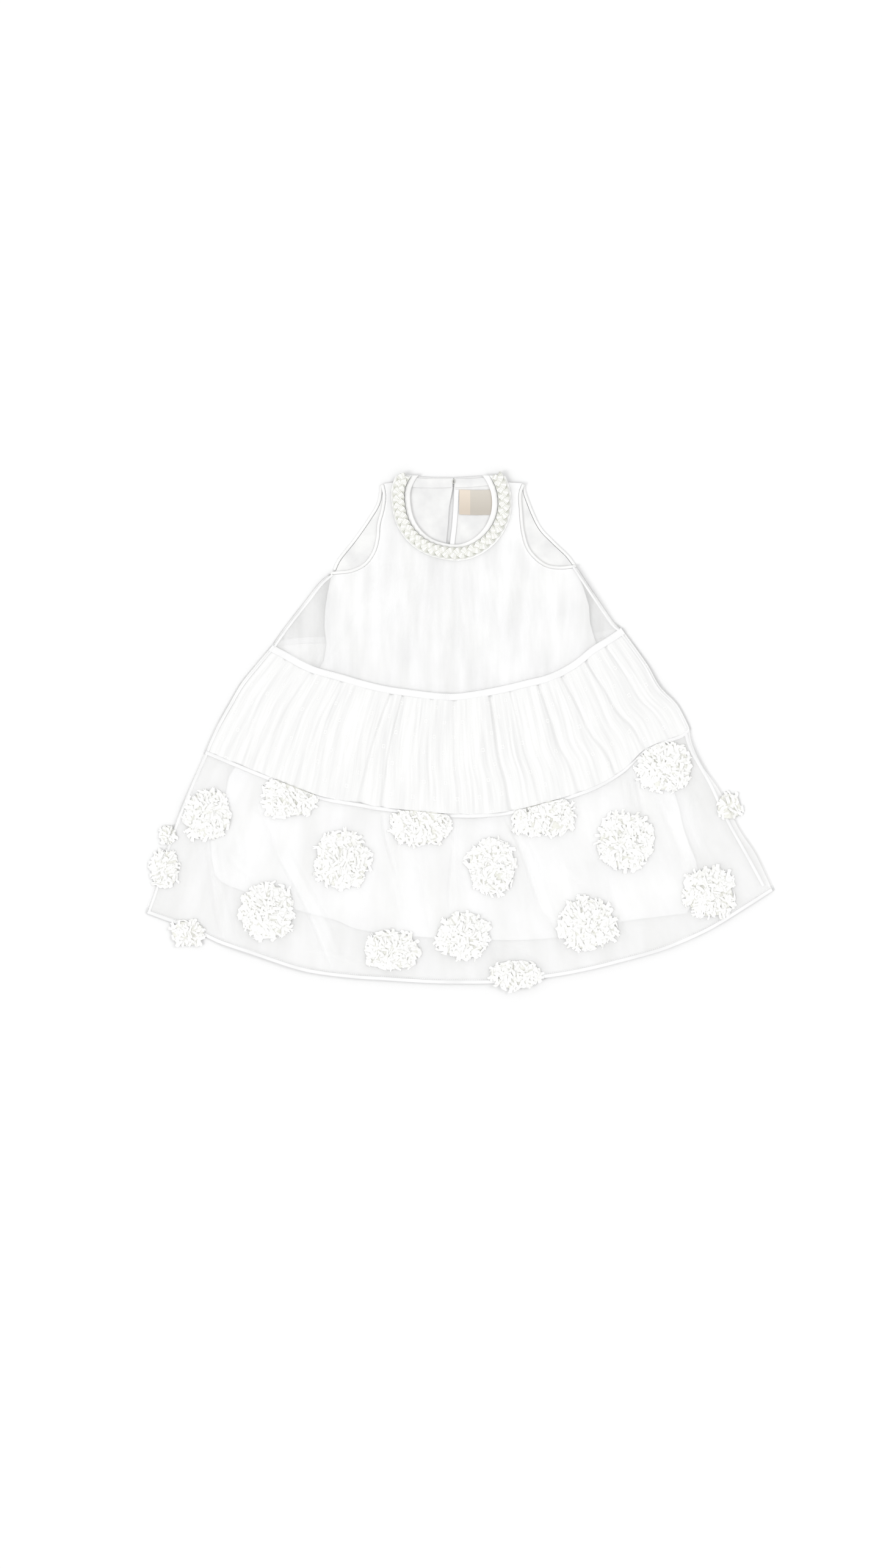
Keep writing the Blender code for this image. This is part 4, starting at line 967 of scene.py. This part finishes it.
class DRESS_OT_stage(bpy.types.Operator):
    """Floor, soft studio light and the overhead camera"""
    bl_idname = "dress.stage"
    bl_label = "Stage"

    def execute(self, context):
        stage = context.scene.dress_stage
        bpy.ops.mesh.primitive_plane_add(size=40.0, location=(0.0, 0.0, -0.0002))
        floor = context.object
        floor.name = "studio_floor"
        # Painted board: one flat tone, matt
        board = start_material("painted_board", 0.9, Base_Color=[*stage.floor_colour, 1.0])[0]
        floor.data.materials.append(board)

        world = bpy.data.worlds.new("studio")
        context.scene.world = world
        world.use_nodes = True
        surroundings = world.node_tree.nodes["Background"].inputs
        surroundings["Color"].default_value = (1.0, 1.0, 1.0, 1.0)
        surroundings["Strength"].default_value = stage.ambient
        # Very large softboxes far off to both sides of the foot, so that they light the floor evenly
        for name, spot, share in (("key_softbox", (-2.4, -1.1, 2.2), 0.66),
                                  ("fill_softbox", (2.2, 0.9, 2.4), 0.34)):
            light = bpy.data.lights.new(name, "SUN")
            light.angle = radians(26.0)
            light.energy = stage.key * share
            lamp = bpy.data.objects.new(name, light)
            lamp.location = spot
            lamp.rotation_euler = (-Vector(spot)).to_track_quat("-Z", "Y").to_euler()
            context.scene.collection.objects.link(lamp)

        data = bpy.data.cameras.new("overhead")
        data.lens = stage.lens * 1000.0
        data.sensor_width = 36.0
        data.clip_end = 50.0
        camera = bpy.data.objects.new("overhead", data)
        camera.location = (*CAMERA_SPOT, PHOTO_ROWS * PIXEL_MM * MM * data.lens / data.sensor_width)
        context.scene.collection.objects.link(camera)
        context.scene.camera = camera
        context.scene.view_settings.view_transform = "Standard"
        return {"FINISHED"}


class DRESS_OT_back(bpy.types.Operator):
    """Back yoke, tiers, seam bands and hem, flat on the floor"""
    bl_idname = "dress.back"
    bl_label = "Back"

    def execute(self, context):
        outline = back_top((-192, 136), (181, 129)) + Path(YOKE_SIDE_RIGHT).run(8)[1:-1]
        outline += [spot - Vector((0, 0.3)) for spot in BACK_MID.top.run(60)[::-1]]
        outline += Path(YOKE_SIDE_LEFT).run(10)[1:-1][::-1]
        yoke = cut_piece("yoke_back", outline, 9.0, lambda spot: BACK_LEVEL, "organza", "back_yoke",
                         lambda spot: slack(spot, 30.0, 0.15), material="organza_shaded")
        for name, node, tier, lines, slot, columns, rows, cut in (
                ("upper_band_back", "back_upper_seam_band", BACK_MID, ((0, 0.0), (0, 11.0)), "seam_band",
                 90, 3, (0.55, 0.011, 1.0)),
                ("gauze_back", "back_mid_tier", BACK_MID, ((0, 11.3), (1, -0.3)), "crinkled_gauze",
                 360, 26, (0.75, 0.2, 0.95)),
                ("lower_band_back", "back_lower_seam_band", BACK_HEM, ((0, 0.0), (0, 5.5)), "seam_band",
                 90, 2, None),
                ("hem_tier_back", "back_hem_tier", BACK_HEM, ((0, 5.8), (1, -7.7)), "organza",
                 140, 40, (0.95, 0.3, 0.85)),
                ("hem_back", "back_hem_band", BACK_HEM, ((1, -7.4), (1, -0.01)), "seam_band",
                 160, 3, None)):
            levels = np.full((rows + 1, columns + 1), BACK_LEVEL)
            if slot == "crinkled_gauze":
                for r, c in np.ndindex(levels.shape):
                    levels[r, c] = 0.7 + 0.45 * crinkle(c / columns, r / rows)
            spots = [tier.at(u, v) for u, v in tier.shares(columns, rows, lines)]
            piece = grid_piece(name, spots, levels, slot, node, even_uvs(levels, 0.9, 0.25))
            if cut:
                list(cut[:2])
        return {"FINISHED"}


class DRESS_OT_linings(bpy.types.Operator):
    """Back and front lining, with the slit and their soft folds"""
    bl_idname = "dress.linings"
    bl_label = "Linings"

    def execute(self, context):
        foot = Path(LINING_SIDE_RIGHT).run(20) + Path(LINING_HEM).run(60)[::-1][1:-1]
        foot += Path(LINING_SIDE_LEFT).run(20)[::-1]
        back = cut_piece("lining_back", back_top((-190, 137), (177, 128)) + foot, 9.0,
                         lambda spot: BACK_LINING_LEVEL, "lining", "back_lining", lining_relief,
                         material="lining_shaded")
        tiers = Cover("front_mid_tier", "front_hem_tier")

        def under_tiers(spot):
            lowered = clamp(tiers.level(spot) - 1.8, 2.6, FRONT_LINING_LEVEL)
            return mix(FRONT_LINING_LEVEL, lowered, ease((spot.y - 280.0) / 40.0))

        front = cut_piece("lining_front", front_top((73.6, 71.8)) + foot, 9.0, under_tiers, "lining",
                          "front_lining", lambda spot: slack(spot, 40.0, 0.2))
        return {"FINISHED"}


class DRESS_OT_yoke(bpy.types.Operator):
    """Sheer front yoke, gathered under the neck"""
    bl_idname = "dress.yoke"
    bl_label = "Front yoke"

    def execute(self, context):
        cover = Cover("front_yoke")
        seam = FRONT_MID.top
        outline = front_top((72.1, 70.3))
        outline += [spot + Vector((-1.5, 0.5)) for spot in Path(YOKE_SIDE_RIGHT).run(16)[1:-1]]
        outline += [seam.at(mix(1.0 - TIER_END, TIER_END, i / 120)) + Vector((0, 2.5)) for i in range(121)]
        outline += [spot + Vector((1.5, 0.5)) for spot in Path(YOKE_SIDE_LEFT).run(16)[1:-1][::-1]]

        def calmed(spot):
            """The relief, which dies away over the last 6 mm to lie under the seam band."""
            near = ease((spot.y - seam.drop_at(spot.x) + 6.0) / 6.0)
            return (1.0 - near) * yoke_relief(spot) - 0.5 * near

        yoke = cut_piece("yoke_front", outline, 3.4, lambda spot: cover.level(spot) - 0.1, "organza",
                         "front_yoke", calmed, 10)
        return {"FINISHED"}


class DRESS_OT_gauze_tier(bpy.types.Operator):
    """Crinkled gauze tier with its fine creases and tucks"""
    bl_idname = "dress.gauze_tier"
    bl_label = "Gauze tier"

    def execute(self, context):
        depth_mm = context.scene.dress_sizes.pleat_depth
        columns, rows = 960, 44
        spots, levels, uvs = tier_on_solid(FRONT_MID, "front_mid_tier", (columns, rows),
                                           ((0, 9.0), (1, 2.0)), (0.006, 0.075, 0.985), (40, 6), 0.86)
        for r, c in np.ndindex(levels.shape):
            u = c / columns
            v = r / rows
            edge = 0.35 + 0.65 * ease(min(v, 1.0 - v) * 9.0)
            tucked = -0.5 * (ease(1.0 - 30.0 * v) + ease(30.0 * v - 29.0))
            side = ease(min(u, 1.0 - u) * 60.0)
            relief = (0.72 * depth_mm * crinkle(u, v) + 1.1 * rough(u * 19.0, v * 0.8, 6.3)) * edge
            for top_u, bottom_u, half, depth in MID_CREASES:
                away = (u - mix(top_u, bottom_u, v)) * 760.0
                relief += 1.3 * depth * bell(away / half) * ease(1.3 - 0.8 * v)
            # Two rows of tucks cross the creases a little below the middle
            tuck = bell((v - 0.60 - 0.02 * sin(7.0 * u)) * 26.0) + bell((v - 0.68) * 26.0)
            levels[r, c] += side * (relief - 0.35 * tuck) - 0.2 + tucked
        piece = grid_piece("gauze_front", spots, levels, "crinkled_gauze", "front_mid_tier", uvs)
        return {"FINISHED"}


class DRESS_OT_hem_tier(bpy.types.Operator):
    """Sheer hem tier with its broad folds and sharp creases"""
    bl_idname = "dress.hem_tier"
    bl_label = "Hem tier"

    def execute(self, context):
        columns, rows = 380, 110
        spots, levels, uvs = tier_on_solid(FRONT_HEM, "front_hem_tier", (columns, rows),
                                           ((0, 4.0), (1, -4.2)), (0.005, 0.035, 0.955), (10, 8), 0.95)
        for (r, c), spot in zip(np.ndindex(levels.shape), spots):
            side = ease(min(c, columns - c) / 12.0) * ease(r / 4.0)
            tucked = -0.4 * (ease(1.0 - r / 3.0) + ease((r - rows + 3.0) / 3.0))
            relief = 0.8 * crease_relief(HEM_CREASES, spot) + slack(spot, 32.0, 0.8, 3.7)
            levels[r, c] += side * under_rosettes(spot) * relief - 0.1 + tucked
        piece = grid_piece("hem_tier_front", spots, levels, "organza", "front_hem_tier", uvs,
                           "organza_flared")
        return {"FINISHED"}


class DRESS_OT_bands(bpy.types.Operator):
    """Seam bands, rolled hem and side seams of the front"""
    bl_idname = "dress.bands"
    bl_label = "Seam bands and hem"

    def execute(self, context):
        for name, node, tier, lines, columns, rows, material in (
                ("upper_band_front", "front_upper_seam_band", FRONT_MID, ((0, 0.0), (0, 11.0)),
                 200, 6, None),
                ("lower_band_front", "front_lower_seam_band", FRONT_HEM, ((0, 0.0), (0, 5.5)),
                 220, 4, "turned_edge"),
                ("hem_front", "front_hem_band", FRONT_HEM, ((1, -5.4), (1, -0.01)),
                 260, 5, "turned_edge")):
            spots = [tier.at(u, v) for u, v in tier.shares(columns, rows, lines, TIER_END)]
            inner = [tier.at(u, v) for u, v in tier.shares(columns, rows, lines, TIER_END, (0.002, 0.15))]
            levels = blur(Cover(node).grid(inner, columns), 6, 2)
            # Crowned across, lifted off the seam and slightly puckered by its stitches
            for r, c in np.ndindex(levels.shape):
                share = 2.0 * r / rows - 1.0
                levels[r, c] += 0.3 - 0.45 * share ** 4 + 0.12 * rough(c * 0.35, share, 2.0)
            grid_piece(name, spots, levels, "seam_band", node, even_uvs(levels, 0.8, BAND_UV), material)
        yoke, mid, hem = [Cover("front_" + name) for name in ("yoke", "mid_tier", "hem_tier")]
        for name, rows, cover, side, inset, width in (
                ("yoke_left", YOKE_SIDE_LEFT, yoke, 1, 7.0, 3.4),
                ("yoke_right", YOKE_SIDE_RIGHT, yoke, -1, 7.0, 3.4),
                ("mid_left", MID_SIDE_LEFT, mid, 1, 7.0, 3.0),
                ("mid_right", MID_SIDE_RIGHT, mid, -1, 8.0, 3.4),
                ("hem_left", HEM_SIDE_LEFT, hem, 1, 7.0, 3.4),
                ("hem_right", HEM_SEAM_RIGHT, hem, -1, 4.0, 4.8)):
            line, edge = [offset(Path(rows).run(60), reach, side) for reach in (inset, inset - width)]
            spots = [a.lerp(b, r / 3) for r in range(4)[::side] for a, b in zip(line, edge)]
            levels = blur(cover.grid(spots, 60), 6, 1) + np.array([[0.0], [0.4], [0.4], [0.0]])
            grid_piece("side_seam_" + name, spots, levels, "seam_band", None,
                       even_uvs(levels, 0.24, BAND_UV), "turned_edge")
        return {"FINISHED"}


class DRESS_OT_neck(bpy.types.Operator):
    """Binding, plaited satin trim, facings, placket, loop and bare label"""
    bl_idname = "dress.neck"
    bl_label = "Neck"

    def execute(self, context):
        inner, outer = [[ellipse(size, i / 120) for i in range(121)] for size in (SCOOP, BINDING_OUTER)]
        rolled_piece("binding_neck", inner, outer, 3.7, 6.3, "neck_binding")
        plait(context.scene.dress_sizes)
        plait_ribbon()
        facings()
        placket()
        label()
        thread_loop(context)
        return {"FINISHED"}


class DRESS_OT_armholes(bpy.types.Operator):
    """Rolled bindings of the armholes, front and back"""
    bl_idname = "dress.armholes"
    bl_label = "Armhole bindings"

    def execute(self, context):
        for name, rows, side, low, high in (("front_left", FRONT_ARMHOLE_LEFT, 1, 2.6, 5.6),
                                            ("front_right", FRONT_ARMHOLE_RIGHT, -1, 2.6, 5.6),
                                            ("back_left", BACK_ARMHOLE_LEFT, 1, 0.0, 2.3),
                                            ("back_right", BACK_ARMHOLE_RIGHT, -1, 0.0, 2.3)):
            outer = Path(rows).run(60)
            rolled_piece("binding_" + name, offset(outer, 4.6, side), outer, low, high,
                         "armhole_binding_" + name)
        return {"FINISHED"}


class DRESS_OT_rosettes(bpy.types.Operator):
    """Rosettes of raw-edged chiffon tabs"""
    bl_idname = "dress.rosettes"
    bl_label = "Rosettes"

    def execute(self, context):
        cover = Cover("front_hem_tier", "front_hem_band", "front_lower_seam_band", "back_hem_tier",
                      "back_hem_band")
        for index, (name, x, drop, width, depth) in enumerate(ROSETTES):
            rosette(cover, context.scene.dress_sizes, index, name, Vector((x, drop)), width, depth)
        return {"FINISHED"}


class DRESS_OT_stitching(bpy.types.Operator):
    """Machine stitches along bands and hem"""
    bl_idname = "dress.stitching"
    bl_label = "Stitching"

    def execute(self, context):
        stitch = context.scene.dress_sizes.stitch / MM
        for name, node, tier, line, count, lift in (
                ("upper_top", "front_upper_seam_band", FRONT_MID, (0, 1.6), 300, 0.25),
                ("upper_low", "front_upper_seam_band", FRONT_MID, (0, 9.4), 300, 0.25),
                ("lower", "front_lower_seam_band", FRONT_HEM, (0, 4.2), 300, 0.25),
                ("hem", "front_hem_band", FRONT_HEM, (1, -6.2), 400, 0.3)):
            cover = Cover(node)
            row = tier.row(line, count, 2.0 * TIER_END)
            points = []
            uvs = []
            travelled = 0.0
            goal = 1.0
            for a, b in zip(row, row[1:]):
                span = (b - a).length
                while goal < travelled + span:
                    spot = a.lerp(b, (goal - travelled) / span)
                    along = (b - a).normalized()
                    side = Vector((-along.y, along.x))
                    level = cover.level(spot) + lift
                    for share, swell in ((-0.5, 0.3), (-0.3, 1.0), (0.3, 1.0), (0.5, 0.3)):
                        for k in range(5):
                            angle = TURN * k / 5
                            p = spot + along * stitch * share * 0.85 + side * 0.22 * swell * cos(angle)
                            points.append(place(p, level + 0.16 * swell * sin(angle)))
                            uvs.append((0.001 * share, 0.0002 * k))
                    goal += stitch * 1.25
                travelled += span
            tube_piece("stitches_" + name, points, 4, 5, uvs, "seam_band", material="thread")
        return {"FINISHED"}


class DRESS_PT_panel(bpy.types.Panel):
    """Sizes and pieces of the dress"""
    bl_idname = "DRESS_PT_panel"
    bl_label = "Tiered dress"
    bl_space_type = "VIEW_3D"
    bl_region_type = "UI"
    bl_category = "Dress"

    def draw(self, context):
        layout = self.layout
        for group in (context.scene.dress_sizes, context.scene.dress_stage):
            for key in group.__annotations__:
                layout.prop(group, key)
        for operator in OPERATORS:
            layout.operator(operator.bl_idname)


OPERATORS = (DRESS_OT_stage, DRESS_OT_back, DRESS_OT_linings, DRESS_OT_yoke, DRESS_OT_gauze_tier,
             DRESS_OT_hem_tier, DRESS_OT_bands, DRESS_OT_neck, DRESS_OT_armholes, DRESS_OT_rosettes,
             DRESS_OT_stitching)
CLASSES = (DressSizes, DressStage, *OPERATORS, DRESS_PT_panel)


def register():
    for item in CLASSES:
        bpy.utils.register_class(item)
    bpy.types.Scene.dress_sizes = PointerProperty(type=DressSizes)
    bpy.types.Scene.dress_stage = PointerProperty(type=DressStage)


def unregister():
    del bpy.types.Scene.dress_stage
    del bpy.types.Scene.dress_sizes
    for item in reversed(CLASSES):
        bpy.utils.unregister_class(item)


def main():
    register()
    MATERIALS.update(make_materials())
    bpy.ops.dress.stage()
    bpy.ops.dress.back()
    bpy.ops.dress.linings()
    bpy.ops.dress.yoke()
    bpy.ops.dress.gauze_tier()
    bpy.ops.dress.hem_tier()
    bpy.ops.dress.bands()
    bpy.ops.dress.neck()
    bpy.ops.dress.armholes()
    bpy.ops.dress.rosettes()
    bpy.ops.dress.stitching()


if __name__ == "__main__":
    main()
